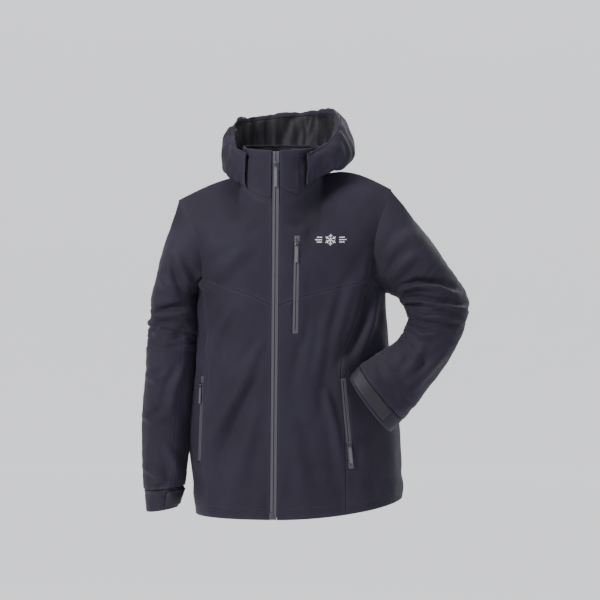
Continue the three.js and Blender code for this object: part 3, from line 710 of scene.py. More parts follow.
@dataclass
class Tailor:
    """Cuts closed pieces of cloth out of a lattice."""

    cloth: Lattice
    step: float = 5.0
    seam_gap: float = 0.16
    roll: float = 1.1
    pucker: float = 0.55

    def piece(
        self,
        name: str,
        cut: Cut,
        front: float = 0.0,
        thick: float = 3.2,
        mitre: bool = True,
        rolled: bool = True,
        step: float | None = None,
    ) -> bpy.types.Object:
        """One closed piece with edges that turn in at its seams.

        Args:
            name: the piece's name.
            cut: its outline.
            front: how far behind the lattice its face lies, millimetres.
            thick: its thickness, millimetres.
            mitre: whether it meets the other side of the shoulder seam upright.
            rolled: whether its edges turn in as at a sewn seam.
            step: spacing of its points, millimetres.

        Returns:
            The piece.
        """
        grid, edge, lift = self.sheet(cut, step or self.step, rolled)
        normal = face_normals(grid[0])
        if mitre:
            upright = smooth(grid[1], 0.88, 1.0)[..., None]
            normal = unit(normal * (1 - upright) + np.array([0.0, 0.0, 1.0]) * upright)
        outer = grid[0] + normal * (lift - front)[..., None]
        inner = grid[0] - normal * (front + thick)
        return closed_sheet(name, outer, inner, near_edge=edge)

    def sheet(self, cut: Cut, step: float, rolled: bool) -> tuple[tuple[Array, Array], Array, Array]:
        """Points, t, nearness to a seam and lift of a cut."""
        t_mid = np.array([0.5])
        ends = []
        for edge in (cut.low, cut.high):
            t = t_mid
            for _ in range(6):
                middle = (cut.start(t) + cut.stop(t)) / 2
                t = edge(np.abs(middle))
            ends.append(t)
        t_c = (ends[0] + ends[1]) / 2
        across = np.linalg.norm(np.diff(self.cloth.read(
            lerp(cut.start(t_c), cut.stop(t_c), np.linspace(0, 1, 30)), np.full(30, t_c[0])), axis=0), axis=1).sum()
        column = lerp(ends[0], ends[1], np.linspace(0, 1, 30))
        tall = np.linalg.norm(np.diff(self.cloth.read(
            (cut.start(column) + cut.stop(column)) / 2, column), axis=0), axis=1).sum()
        us, vs = spaced(across, step), spaced(tall, step)
        lows, highs = self.ends(cut, us)
        v = vs[None, :]
        inset_v, inset_u = self.seam_gap / tall, self.seam_gap / across
        t = lerp(lows[:, None], highs[:, None], lerp(inset_v, 1 - inset_v, v))
        angle = lerp(cut.start(t), cut.stop(t), lerp(inset_u, 1 - inset_u, us[:, None]))
        points = self.cloth.read(angle, t)
        du = np.minimum(us, 1 - us)[:, None] * across * np.ones_like(v)
        dv = np.minimum(vs, 1 - vs)[None, :] * tall * np.ones_like(us)[:, None]
        near = np.minimum(du, dv)
        lift = np.zeros(near.shape)
        if rolled:
            q = 1 - np.clip(near / self.roll, 0, 1)
            lift -= self.roll * (1 - np.sqrt(np.maximum(1 - q**2, 0)))
            place = points / np.array([7.0, 7.0, 7.0])
            ripple = wander(71, place[..., 0], place[..., 1], place[..., 2])
            lift += self.pucker * ripple * np.exp(-near / 5.0) * smooth(near, 0.0, 2.0)
        return (points, t), np.exp(-near / 4.0), lift

    @staticmethod
    def ends(cut: Cut, us: Array) -> tuple[Array, Array]:
        """The values of t at which each column of a cut starts and stops."""
        found = []
        for edge in (cut.low, cut.high):
            t = np.full(us.shape, 0.5)
            for _ in range(8):
                t = edge(np.abs(lerp(cut.start(t), cut.stop(t), us)))
            found.append(t)
        return found[0], found[1]


def dress(obj: bpy.types.Object, finish: bpy.types.Material, slot: str, body: str, *nodes: str) -> bpy.types.Object:
    """Gives a piece its finish and its place in the frame.

    Args:
        obj: the piece.
        finish: its material.
        slot: not used.
        body: the body that it rides on.
        nodes: the frame's nodes that it stands for.

    Returns:
        The piece.
    """
    obj.data.materials.clear()
    obj.data.materials.append(finish)
    if body:
        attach(obj, body)
    if nodes:
        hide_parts(*nodes)
    LOG.info("%s: %d faces", obj.name, len(obj.data.polygons))
    return obj


def declare(obj: bpy.types.Object, held: str, *rests_on: str) -> None:
    """Reads a piece's cloth UV map, unwrapped along its own threads, and does nothing more with it.

    Args:
        obj: the piece, unwrapped in metres.
        held: not used.
        rests_on: not used.
    """
    mesh = obj.data
    uv = np.empty(2 * len(mesh.loops))
    mesh.uv_layers["cloth"].data.foreach_get("uv", uv)


@dataclass
class Trunk:
    """The trunk's shell panels, their lining, the wind flap and the pocket bags."""

    form: Form
    cloth: Lattice
    finishes: "Finishes"
    zips: Sequence[Seat]
    zip_half: float = 7.35
    slot_half: float = 6.3
    lining_depth: float = 12.4
    lining: float = 1.2
    flap_depth: float = 6.3
    flap: float = 2.0
    bag_depth: float = 7.2
    bag: float = 2.2

    def edge(self, x: float) -> Callable[[Array], Array]:
        """The angle, as a function of t, at which the front lies a distance beside the zip."""

        def angle(t: Array) -> Array:
            """Angle at each t."""
            t = np.asarray(t, float)
            a = np.full(t.shape, x * 57.3 / 200)
            for _ in range(6):
                a = a * x / self.cloth.read(a, t)[..., 0]
            return a

        return angle

    def shell(self) -> None:
        """Makes the eight outer panels."""
        form, tailor = self.form, Tailor(self.cloth)
        hem = level(0.002)
        for side in Side:
            sign = side.value
            zip_edge = self.edge(sign * self.zip_half)

            def seam(t: Array, side: Side = side) -> Array:
                """Seam between front and side panel."""
                return side.value * form.princess_angle(side, t)

            def rear(t: Array, side: Side = side) -> Array:
                """Seam between side and back panel."""
                return side.value * form.rear_angle(t)

            armhole = level(sign * form.armhole_angle)
            front = (zip_edge, seam) if sign > 0 else (seam, zip_edge)
            yoke = (zip_edge, armhole) if sign > 0 else (armhole, zip_edge)
            flank = (seam, rear) if sign > 0 else (rear, seam)
            pieces = {
                "front_panel": Cut(*front, hem, form.yoke_seam),
                "front_yoke": Cut(*yoke, form.yoke_seam, level(1.0)),
                "side_panel": Cut(*flank, hem, form.underarm),
            }
            for word, cut in pieces.items():
                self.outer(tailor, f"{side.word}_{word}", cut)
        low, high = 180 - form.armhole_angle, 180 + form.armhole_angle
        back = Cut(form.rear_angle, lambda t: 360 - form.rear_angle(t), hem, level(form.back_yoke_t))
        self.outer(tailor, "back_panel", back)
        self.outer(tailor, "back_yoke", Cut(level(low), level(high), level(form.back_yoke_t), level(1.0)))

    def outer(self, tailor: Tailor, node: str, cut: Cut) -> None:
        """Makes and dresses one outer panel, with slots for the pocket zips that cross it."""
        piece = tailor.piece(f"{node}_cloth", cut)
        if "back" not in node:
            for seat in self.zips:
                self.slot(piece, seat)
        declare(dress(piece, self.finishes.shell, "shell_cloth", "jacket", node), "hung")

    def slot(self, piece: bpy.types.Object, seat: Seat) -> None:
        """Cuts a pocket zip's slot through a panel if they meet."""
        outline = oblong(2 * self.slot_half, seat.length + 0.7, 2.0, (0, seat.length / 2))
        cutter = seat.seat(solid("cutter", outline, (-16.0, 5.6), 0.0))
        corners = [np.array([v.co for v in obj.data.vertices]) for obj in (piece, cutter)]
        apart = (corners[0].min(0) > corners[1].max(0)).any() or (corners[1].min(0) > corners[0].max(0)).any()
        if not apart:
            modifier = piece.modifiers.new("slot", "BOOLEAN")
            modifier.operation, modifier.solver, modifier.object = "DIFFERENCE", "EXACT", cutter
            bake(piece)
        bpy.data.objects.remove(cutter)

    def inside(self) -> None:
        """Makes the lining, the wind flap and the pocket bags."""
        form = self.form
        tailor = Tailor(self.cloth, step=9.0, seam_gap=0.6)
        arm = form.armhole_angle
        top, under, low = level(0.93), level(form.underarm_t), level(0.012)
        cuts = {
            "right_front_lining": Cut(level(-arm), self.edge(-26), low, top),
            "left_front_lining": Cut(self.edge(26), level(arm), low, top),
            "right_side_lining": Cut(level(arm - 180), level(-arm), low, under),
            "left_side_lining": Cut(level(arm), level(180 - arm), low, under),
            "back_lining": Cut(level(180 - arm), level(180 + arm), low, top),
        }
        for node, cut in cuts.items():
            piece = tailor.piece(f"{node}_cloth", cut, self.lining_depth, self.lining, mitre=False, rolled=False)
            declare(dress(piece, self.finishes.lining, "lining_cloth", "jacket", node), "hung")
        flap = Cut(self.edge(-22), self.edge(12), level(0.008), level(0.83))
        piece = tailor.piece("wind_flap_cloth", flap, self.flap_depth, self.flap, mitre=False)
        declare(dress(piece, self.finishes.shell, "shell_cloth", "jacket", "wind_flap"), "hung")
        bags = {
            "chest_pocket_bag": Cut(self.edge(34), self.edge(128), level(0.47), level(0.855)),
            "right_hand_pocket_bag": Cut(level(-60.5), level(-32), level(0.07), level(0.4)),
            "left_hand_pocket_bag": Cut(level(15), level(43), level(0.07), level(0.43)),
        }
        for node, cut in bags.items():
            piece = tailor.piece(f"{node}_cloth", cut, self.bag_depth, self.bag, mitre=False)
            declare(dress(piece, self.finishes.lining, "lining_cloth", "jacket", node), "hung")


@dataclass
class Sleeve:
    """One sleeve with its cuff, strap and patch; it bends at the elbow."""

    side: Side
    form: Form
    cloth: Lattice
    finishes: "Finishes"
    elbow: tuple[float, float] = (2 / 7, 4 / 7)
    cuff_from: float = 6 / 7
    wall: float = 3.2
    strap_angles: dict[Side, tuple[float, float]] = field(
        default_factory=lambda: {Side.RIGHT: (108.0, 216.0), Side.LEFT: (54.0, 180.0)}
    )
    seams: dict[Side, tuple[float, float]] = field(
        default_factory=lambda: {Side.RIGHT: (118.0, 300.0), Side.LEFT: (-25.0, 205.0)}
    )

    def frame_at(self, s: float) -> tuple[Array, Array]:
        """Middle of the sleeve and its direction at a place along it, in millimetres."""
        ring = self.cloth.read(np.linspace(0, 350, 36), np.full(36, s))
        ahead = self.cloth.read(np.linspace(0, 350, 36), np.full(36, min(1.0, s + 0.02)))
        behind = self.cloth.read(np.linspace(0, 350, 36), np.full(36, max(0.0, s - 0.02)))
        return ring.mean(0), unit(ahead.mean(0) - behind.mean(0))

    def sheet(
        self,
        name: str,
        phi: tuple[float, float],
        s: tuple[float, float],
        front: float,
        thick: float,
        rolled: bool = True,
        tip: float = 0.0,
    ) -> bpy.types.Object:
        """A closed piece of the sleeve.

        Args:
            name: the piece's name.
            phi: its side edges, degrees round the sleeve.
            s: its ends along the sleeve.
            front: how far behind the sleeve's face it lies, millimetres.
            thick: its thickness.
            rolled: whether its edges turn in.
            tip: degrees over which its last side edge is rounded off.

        Returns:
            The piece.
        """
        tailor = Tailor(self.cloth, step=4.0)
        middle, half = (s[0] + s[1]) / 2, (s[1] - s[0]) / 2

        def reach(angle: Array) -> Array:
            """Half width of the piece at an angle."""
            if not tip:
                return np.full(np.shape(angle), half)
            q = np.clip((np.asarray(angle) - (phi[1] - tip)) / tip, 0, 1)
            return half * np.maximum(np.sqrt(1 - q**2.4), 0.12)

        cut = Cut(level(phi[0]), level(phi[1]), lambda x: middle - reach(x), lambda x: middle + reach(x))
        (points, _), edge, lift = tailor.sheet(cut, tailor.step, rolled)
        normal = face_normals(points)
        centres = np.stack([self.frame_at(float(x))[0] for x in np.linspace(s[0], s[1], 12)])
        nearest = centres[np.clip((np.linspace(0, 1, points.shape[1]) * 11).round().astype(int), 0, 11)]
        outward = np.sign(np.sum(normal * (points - nearest[None]), -1).mean())
        normal = normal * outward
        return closed_sheet(
            name, points + normal * (lift - front)[..., None], points - normal * (front + thick), near_edge=edge
        )

    def build(self) -> None:
        """Makes every piece of the sleeve."""
        word, arm = self.side.word, f"{self.side.word}_forearm"
        a, b = self.seams[self.side]
        start, _ = self.frame_at(self.elbow[0])
        stop, _ = self.frame_at(self.elbow[1])
        nodes = (f"{word}_upper_sleeve", f"{word}_elbow", f"{word}_lower_sleeve")
        halves = ((f"{word}_sleeve_front", (a, b), nodes), (f"{word}_sleeve_back", (b, a + 360), ()))
        for name, phi, replaced in halves:
            piece = self.sheet(name, phi, (0.0, self.cuff_from), 0.0, self.wall)
            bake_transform(piece, "jacket", arm, start=tuple(start * MM), end=tuple(stop * MM))
            declare(dress(piece, self.finishes.shell, "shell_cloth", "", *replaced), "gathered")
        band = self.sheet(f"{word}_cuff_band", (0.0, 359.5), (self.cuff_from + 0.002, 1.0), 1.4, 3.4)
        declare(dress(band, self.finishes.shell, "shell_cloth", arm, f"{word}_cuff"), "hung")
        sewn, loose = self.strap_angles[self.side]
        low, high = lerp(self.cuff_from, 1.0, 0.12), lerp(self.cuff_from, 1.0, 0.86)
        strap = self.sheet(f"{word}_cuff_strap", (sewn, loose), (low, high), -1.9, 1.9, tip=18.0)
        dress(strap, self.finishes.strap, "soft_rubber", f"{word}_tab", f"{word}_cuff_tab")
        patch = self.sheet(f"{word}_cuff_patch", (sewn + 54, loose + 36), (low + 0.004, high - 0.004), 0.4, 0.8)
        dress(patch, self.finishes.loop_pile, "lining_cloth", arm, f"{word}_cuff_loop_patch")


@dataclass
class Neck:
    """The standing collar and the lowered hood behind it."""

    form: Form
    finishes: "Finishes"
    zip_theta: float = 5.3
    hood: tuple[float, float] = (43.0, 314.0)
    rim_height: tuple[float, float] = (136.0, 158.0)
    bulge: float = 62.0
    beside: tuple[float, float] = (26.0, 42.0)
    band: tuple[float, float] = (2.3 / 8, 3.8 / 8)
    wall: float = 2.2

    def collar_cloth(self) -> Lattice:
        """The collar's outer face with its soft rolls, theta against v."""
        theta, v = np.meshgrid(np.linspace(0, 360, 361), np.linspace(-0.07, 1, 61), indexing="ij")
        points = self.form.collar(theta, v)
        normal = face_normals(points)
        away = np.minimum(theta, 360 - theta)
        calm = smooth(away, 9.0, 30.0)
        middle = np.sin(math.pi * np.clip(v, 0, 1)) ** 0.5
        lift = 1.3 * wander(51, points[..., 0] / 26, points[..., 1] / 26, v * 2.2) * middle
        lift += 1.2 * np.exp(-(((v - 0.9) / 0.06) ** 2)) - 0.9 * np.exp(-(((v - 0.78) / 0.04) ** 2))
        points = points + normal * (lift * calm)[..., None]
        return Lattice(points, (0, -0.07), (360, 1), ring=True)

    def chin_flap(self, side: Side, cloth: Lattice) -> bpy.types.Object:
        """The hood's front end, a double layer laid over the collar beside the zip, with a slanting lower edge."""
        start, stop = (6.2, 33.0) if side is Side.LEFT else (6.2, 47.0)
        corner, rise = (0.07, 0.24) if side is Side.LEFT else (0.16, -0.06)
        tailor = Tailor(cloth, step=3.0, roll=1.6, pucker=0.5)

        def lower(theta: Array) -> Array:
            """Lower edge: its corner away from the zip hangs lower than its end at the zip."""
            share = np.clip((np.mod(np.abs(theta), 360) - start) / (stop - start), 0, 1)
            return lerp(corner + rise, corner, share)

        edges = (start, stop) if side is Side.LEFT else (-stop, -start)
        cut = Cut(level(edges[0]), level(edges[1]), lower, level(1.0))
        return tailor.piece(f"{side.word}_chin_flap", cut, -2.6, 2.3, mitre=False)

    def collar(self) -> None:
        """Makes both halves of the collar and its lining."""
        cloth = self.collar_cloth()
        tailor = Tailor(cloth, step=4.5)
        low, high = level(-0.02), level(0.995)
        halves = {"left_collar": (self.zip_theta, 179.8), "right_collar": (-179.8, -self.zip_theta)}
        for node, (a, b) in halves.items():
            piece = tailor.piece(f"{node}_cloth", Cut(level(a), level(b), low, high), 0.0, 3.6, mitre=False)
            declare(dress(piece, self.finishes.shell, "shell_cloth", "jacket", node), "hung")
        for side in Side:
            flap = dress(self.chin_flap(side, cloth), self.finishes.shell, "shell_cloth", "jacket")
            declare(flap, "laid", f"{side.word}_collar_cloth")
        cut = Cut(level(-168.0), level(168.0), level(0.06), level(0.975))
        piece = tailor.piece("collar_lining_cloth", cut, 4.7, 1.2, mitre=False, rolled=False)
        declare(dress(piece, self.finishes.lining, "lining_cloth", "jacket", "collar_lining"), "hung")

    def hood_point(self, theta: Array, s: Array) -> Array:
        """Points of the lowered hood: s runs up its lining, over the rim and down its outside."""
        start, stop = self.hood
        t = theta.ravel()
        foot = self.form.collar(t, np.full(t.shape, 0.1))
        ahead = self.form.collar(t + 0.5, np.full(t.shape, 0.1))
        higher = self.form.collar(t, np.full(t.shape, 0.14))
        out = unit(np.cross(ahead - foot, higher - foot))
        back = np.sin(math.pi * (t - start) / (stop - start))
        behind = smooth((np.cos(np.radians(t - 180)) - 0.62) / 0.38)
        leftward = (1 + np.sin(np.radians(t))) / 2
        top = lerp(self.form.collar_top - 6, lerp(*self.rim_height, leftward), smooth(back / 0.8))
        tall = top - foot[:, 2]
        wide = lerp(2.0, lerp(lerp(*self.beside, leftward), self.bulge, behind), smooth(back / 0.6))
        open_by = lerp(1.0, lerp(lerp(14.0, 27.0, leftward), 26.0, behind), smooth(back / 0.42))
        low = lerp(lerp(2.0, 30.0 - foot[:, 2], leftward**2), -75.0, behind)
        brim = lerp(low, tall, 0.24)
        pinch = lerp(0.3, 1.0, smooth(back / 0.3))
        rows = (
            (1.05, 5.0),
            (2 + 0.45 * open_by, tall * 0.5),
            (3 + 0.85 * open_by, tall * 0.86),
            (5 + open_by, tall),
            (6 * pinch + 5 + open_by + 0.1 * wide, tall * 0.93),
            (9 * pinch + 5 + open_by + 0.5 * wide, lerp(brim, tall, 0.5)),
            (9 * pinch + 5 + 0.45 * open_by + wide, brim),
            (6 * pinch + 4 + 0.35 * open_by + 0.85 * wide, low),
            (5 + 4 * pinch, np.minimum(9.0, low - 2)),
        )
        controls = []
        for r, z in rows:
            point = foot + out * np.broadcast_to(r, t.shape)[:, None]
            point[:, 2] += z
            controls.append(point)
        return chordal(np.stack(controls), s.ravel()).reshape(*theta.shape, 3)

    def hood_cloth(self) -> Lattice:
        """The hood's visible face, inside and out, with its folds; it runs from the wearer's right."""
        start, stop = self.hood
        theta, s = np.meshgrid(np.linspace(stop, start, 273), np.linspace(0, 1, 241), indexing="ij")
        points = self.hood_point(theta, s)
        normal = face_normals(points)
        ends = smooth(theta, start, start + 10) * (1 - smooth(theta, stop - 10, stop))
        foot = smooth(s, 0.0, 0.08) * (1 - smooth(s, 0.9, 1.0))
        inside = 1 - smooth(s, self.band[0] - 0.06, self.band[0] + 0.02)
        turn = np.radians(theta)
        swell = wander(61, np.cos(turn) * 2.4, np.sin(turn) * 2.4, s * 3.4)
        wrinkle = wander(62, np.cos(turn) * 6.5 + s * 2.0, np.sin(turn) * 6.5, s * 4.0)
        lift = (1 - inside) * (3.0 * swell + 1.5 * wrinkle) + inside * (3.0 * swell + 2.6 * wrinkle)
        pleats = np.sin(theta * 0.42 + 5.0 * s + 2.0 * swell)
        lift += (1 - inside) * smooth(s, 0.62, 0.9) * 1.8 * pleats
        points = points + normal * (lift * ends * foot)[..., None]
        return Lattice(points, (stop, 0), (start, 1))

    def build_hood(self) -> None:
        """Makes the hood's lining, rim band and three outer panels."""
        start, stop = self.hood
        tailor = Tailor(self.hood_cloth(), step=5.0, roll=2.2, pucker=0.6)
        a, b = self.band
        cuts = {
            "hood_lining": Cut(level(stop), level(start), level(0.0), level(a)),
            "hood_rim": Cut(level(stop), level(start), level(a), level(b)),
            "right_hood_panel": Cut(level(stop), level(220.0), level(b), level(1.0)),
            "centre_hood_panel": Cut(level(220.0), level(140.0), level(b), level(1.0)),
            "left_hood_panel": Cut(level(140.0), level(start), level(b), level(1.0)),
        }
        for node, cut in cuts.items():
            inner = node == "hood_lining"
            piece = tailor.piece(f"{node}_cloth", cut, 0.0, self.wall, mitre=False)
            finish = self.finishes.lining if inner else self.finishes.shell
            dress(piece, finish, "lining_cloth" if inner else "shell_cloth", "jacket", node)
            declare(piece, "gathered", "back_yoke_cloth")


# ------------------------------------------------------------------ solid hardware
def solid(name: str, outline: Sequence[tuple[float, float]], deep: tuple[float, float], round_off: float = 0.25,
          segments: int = 2) -> bpy.types.Object:
    """A plate cut to an outline in X and Z and thick along Y, with rounded edges, millimetres."""
    bm = bmesh.new()
    front = [bm.verts.new((x, deep[0], z)) for x, z in outline]
    face = bm.faces.new(front)
    made = bmesh.ops.extrude_face_region(bm, geom=[face])
    for vert in (v for v in made["geom"] if isinstance(v, bmesh.types.BMVert)):
        vert.co.y = deep[1]
    bmesh.ops.recalc_face_normals(bm, faces=bm.faces)
    if round_off > 0:
        bmesh.ops.bevel(bm, geom=list(bm.edges), offset=round_off, segments=segments, profile=0.5,
                        affect="EDGES", clamp_overlap=True)
    return from_bmesh(name, bm)


def from_bmesh(name: str, bm: bmesh.types.BMesh) -> bpy.types.Object:
    """A linked object from a closed mesh in construction."""
    bmesh.ops.triangulate(bm, faces=[f for f in bm.faces if len(f.verts) > 4])
    bmesh.ops.recalc_face_normals(bm, faces=bm.faces)
    mesh = bpy.data.meshes.new(name)
    bm.to_mesh(mesh)
    bm.free()
    obj = bpy.data.objects.new(name, mesh)
    bpy.context.scene.collection.objects.link(obj)
    outwards(obj)
    return obj


def oblong(width: float, length: float, corner: float, at: tuple[float, float] = (0.0, 0.0),
           steps: int = 6) -> list[tuple[float, float]]:
    """Outline of a rectangle with round corners, centred on a place."""
    out = []
    for cx, cz, first in ((1, 1, 0), (-1, 1, 90), (-1, -1, 180), (1, -1, 270)):
        for k in range(steps + 1):
            a = math.radians(first + 90 * k / steps)
            out.append((at[0] + cx * (width / 2 - corner) + corner * math.cos(a),
                        at[1] + cz * (length / 2 - corner) + corner * math.sin(a)))
    return out


def turned(name: str, radii: Sequence[tuple[float, float]], around: int = 24) -> bpy.types.Object:
    """A solid turned about the X axis from (x, radius) pairs, closed at both ends."""
    bm = bmesh.new()
    rings = []
    for x, r in radii:
        if r < 1e-6:
            rings.append([bm.verts.new((x, 0, 0))])
            continue
        angles = [2 * math.pi * k / around for k in range(around)]
        rings.append([bm.verts.new((x, r * math.cos(a), r * math.sin(a))) for a in angles])
    for one, two in zip(rings[:-1], rings[1:]):
        for k in range(around):
            n = (k + 1) % around
            if len(one) == 1:
                bm.faces.new((one[0], two[k], two[n]))
            elif len(two) == 1:
                bm.faces.new((one[k], one[n], two[0]))
            else:
                bm.faces.new((one[k], one[n], two[n], two[k]))
    return from_bmesh(name, bm)


@dataclass(frozen=True)
class Seat:
    """Where a zip lies: its lower end, its direction and its width, in the jacket's frame."""

    foot: tuple[float, float, float]
    up: tuple[float, float, float]
    across: tuple[float, float, float]
    length: float
    rest: float

    def matrix(self) -> Matrix:
        """Matrix from the zip's own frame: X across, Y into the jacket, Z up, millimetres."""
        up, across = unit(np.array(self.up)), unit(np.array(self.across))
        inward = np.cross(up, across)
        rows = np.eye(4)
        rows[:3, 0], rows[:3, 1], rows[:3, 2], rows[:3, 3] = across, inward, up, self.foot
        return Matrix(rows.tolist())

    def seat(self, obj: bpy.types.Object, height: float = 0.0) -> bpy.types.Object:
        """Moves a mesh in the zip's own frame to its place on the jacket."""
        obj.data.transform(Matrix.Scale(MM, 4) @ self.matrix() @ Matrix.Translation((0, 0, height)))
        obj.data.update()
        return obj


@dataclass(frozen=True)
class PullSizes:
    """Sizes of a slider and its puller, millimetres."""

    width: float = 9.0
    length: float = 13.0
    plate: float = 1.5
    gap: float = 0.35
    behind: float = 3.15
    stand: float = 2.4
    strap: float = 6.5
    thick: float = 2.0

    @property
    def pin_y(self) -> float:
        """Depth of the puller's pin."""
        return -self.gap - self.plate - self.stand


class Slider:
    """A cast slider with two plates, a bridge and a lug, and the moulded puller on its pin."""

    def __init__(self, seat: Seat, prefix: str, body: str, pull: str, length: float, finishes: "Finishes") -> None:
        """Takes the place and names.

        Args:
            seat: the zip that it runs on.
            prefix: start of its node names.
            body: the sliding body.
            pull: the swinging body.
            length: the puller's length, millimetres.
            finishes: the jacket's finishes.
        """
        self.seat, self.prefix, self.body, self.pull = seat, prefix, body, pull
        self.length, self.finishes, self.sizes = length, finishes, PullSizes()

    def waist(self, width: float, length: float) -> list[tuple[float, float]]:
        """Outline of a slider's plate: shoulders at the top, drawn in towards the lower end."""
        half, tall = width / 2, length / 2
        side = [(half * 0.62, tall), (half * 0.9, tall * 0.86), (half, tall * 0.55), (half * 0.98, tall * 0.1),
                (half * 0.8, -tall * 0.45), (half * 0.7, -tall * 0.8), (half * 0.55, -tall)]
        left = [(-x, z) for x, z in reversed(side)]
        return [(x, z) for x, z in side] + left

    def build(self) -> None:
        """Makes the slider and its puller."""
        z = self.sizes
        half = z.length / 2
        front = solid("front", self.waist(z.width, z.length), (-z.gap - z.plate, -z.gap), 0.4, 3)
        back = solid("back", self.waist(z.width - 0.6, z.length - 0.4), (z.behind, z.behind + z.plate - 0.3), 0.3)
        bridge = solid("bridge", oblong(1.0, 5.0, 0.3, (0, half - 3)), (-z.gap - 0.4, z.behind + 0.4), 0.0)
        lug_x = 1.5 + z.gap
        lugs = []
        for sign in (-1, 1):
            eye = turned("eye", ((-0.5, 0), (-0.5, 1.9), (-0.35, 2.1), (0.35, 2.1), (0.5, 1.9), (0.5, 0)))
            eye.data.transform(Matrix.Translation((sign * (lug_x + 0.5), z.pin_y, 0)))
            web = solid("web", oblong(1.0, 4.2, 0.2, (sign * (lug_x + 0.5), 0)), (z.pin_y + 0.3, -z.gap - 0.6), 0.0)
            lugs += [eye, web]
        pin = turned("pin", ((-lug_x - 0.9, 0), (-lug_x - 0.9, 0.8), (lug_x + 0.9, 0.8), (lug_x + 0.9, 0)))
        pin.data.transform(Matrix.Translation((0, z.pin_y, 0)))
        rails = []
        for sign in (-1, 1):
            rail = solid("rail", oblong(0.7, z.length * 0.62, 0.3, (sign * (z.width / 2 - 0.7), 0.8)),
                         (-z.gap - 0.4, 0.35), 0.15)
            rails.append(rail)
            ridge = solid("ridge", oblong(0.8, z.length * 0.5, 0.38, (sign * 3.3, 0.6)),
                          (-z.gap - z.plate - 0.35, -z.gap - z.plate + 0.2), 0.15)
            rails.append(ridge)
        slider = join_meshes(f"{self.prefix}_slider_casting", [front, back, bridge, pin, *lugs, *rails])
        dress(self.seat.seat(slider, self.seat.rest), self.finishes.gunmetal, "gunmetal", self.body,
              f"{self.prefix}_slider")
        self.build_puller()

    def build_puller(self) -> None:
        """Makes the puller: a wire loop on the pin moulded into a flat ribbed strap."""
        z, length = self.sizes, self.length
        ring = []
        wide = 1.35
        for k in range(25):
            a = math.pi / 2 + 2 * math.pi * k / 24
            ring.append((wide * math.cos(a), -3.3 + 3.75 * math.sin(a) + (0.35 if math.sin(a) > 0 else 0)))
        wire = tube("wire", [(x, 0.0, zz) for x, zz in ring[:-1]], 0.42, True)
        strap = self.strap(length)
        puller = join_meshes(f"{self.prefix}_puller_strap", [strap])
        for obj in (puller, wire):
            obj.data.transform(Matrix.Translation((0, z.pin_y, 0)))
            self.seat.seat(obj, self.seat.rest)
        wire.name = f"{self.prefix}_puller_wire"
        dress(wire, self.finishes.gunmetal, "gunmetal", self.pull)
        dress(puller, self.finishes.rubber, "soft_rubber", self.pull, f"{self.prefix}_puller")

    def strap(self, length: float) -> bpy.types.Object:
        """The moulded strap: a neck that swells into a flat blade with cross ribs and a rounded tip."""
        rows, cols = 90, 20
        top, tip = -5.2, -length
        zs = top + (tip - top) * (1 - np.cos(np.linspace(0, math.pi, rows))) / 2
        share = (zs - top) / (tip - top)
        body = smooth(share, 0.0, 0.16)
        end = np.sqrt(np.clip(1 - np.clip((share - 0.93) / 0.07, 0, 1) ** 2, 0.0, 1))
        start = np.sqrt(np.clip(1 - np.clip((0.04 - share) / 0.04, 0, 1) ** 2, 0.0, 1))
        half = (1.7 + 1.55 * body) * np.minimum(end, start)
        ribbed = smooth(share, 0.52, 0.58) * (1 - smooth(share, 0.9, 0.94))
        ribs = 0.22 * np.cos((zs - top) * 2 * math.pi / 2.6) * ribbed
        dent = -0.28 * smooth(share, 0.2, 0.24) * (1 - smooth(share, 0.44, 0.48))
        deep = (1.15 - 0.15 * body) * np.minimum(end, start) ** 0.6
        around = np.linspace(0, 2 * math.pi, cols, endpoint=False)
        c, s = np.cos(around), np.sin(around)
        n = 0.34
        x = half[:, None] * np.sign(c) * np.abs(c) ** n
        flat = (np.abs(c) < 0.72).astype(float)
        y = np.sign(s) * np.abs(s) ** n * (deep[:, None] + (ribs + dent)[:, None] * flat * np.minimum(end, 1)[:, None])
        pts = np.stack([x, y, np.repeat(zs[:, None], cols, 1)], -1)[1:-1]
        verts = [tuple(p) for p in pts.reshape(-1, 3)]
        count = pts.shape[0]
        faces = [(i * cols + j, i * cols + (j + 1) % cols, (i + 1) * cols + (j + 1) % cols, (i + 1) * cols + j)
                 for i in range(count - 1) for j in range(cols)]
        verts += [(0, 0, float(zs[0])), (0, 0, float(zs[-1]))]
        a, b = len(verts) - 2, len(verts) - 1
        faces += [(a, (j + 1) % cols, j) for j in range(cols)]
        faces += [(b, (count - 1) * cols + j, (count - 1) * cols + (j + 1) % cols) for j in range(cols)]
        obj = mesh_object("strap", verts, faces, 1.0)
        outwards(obj)
        return obj


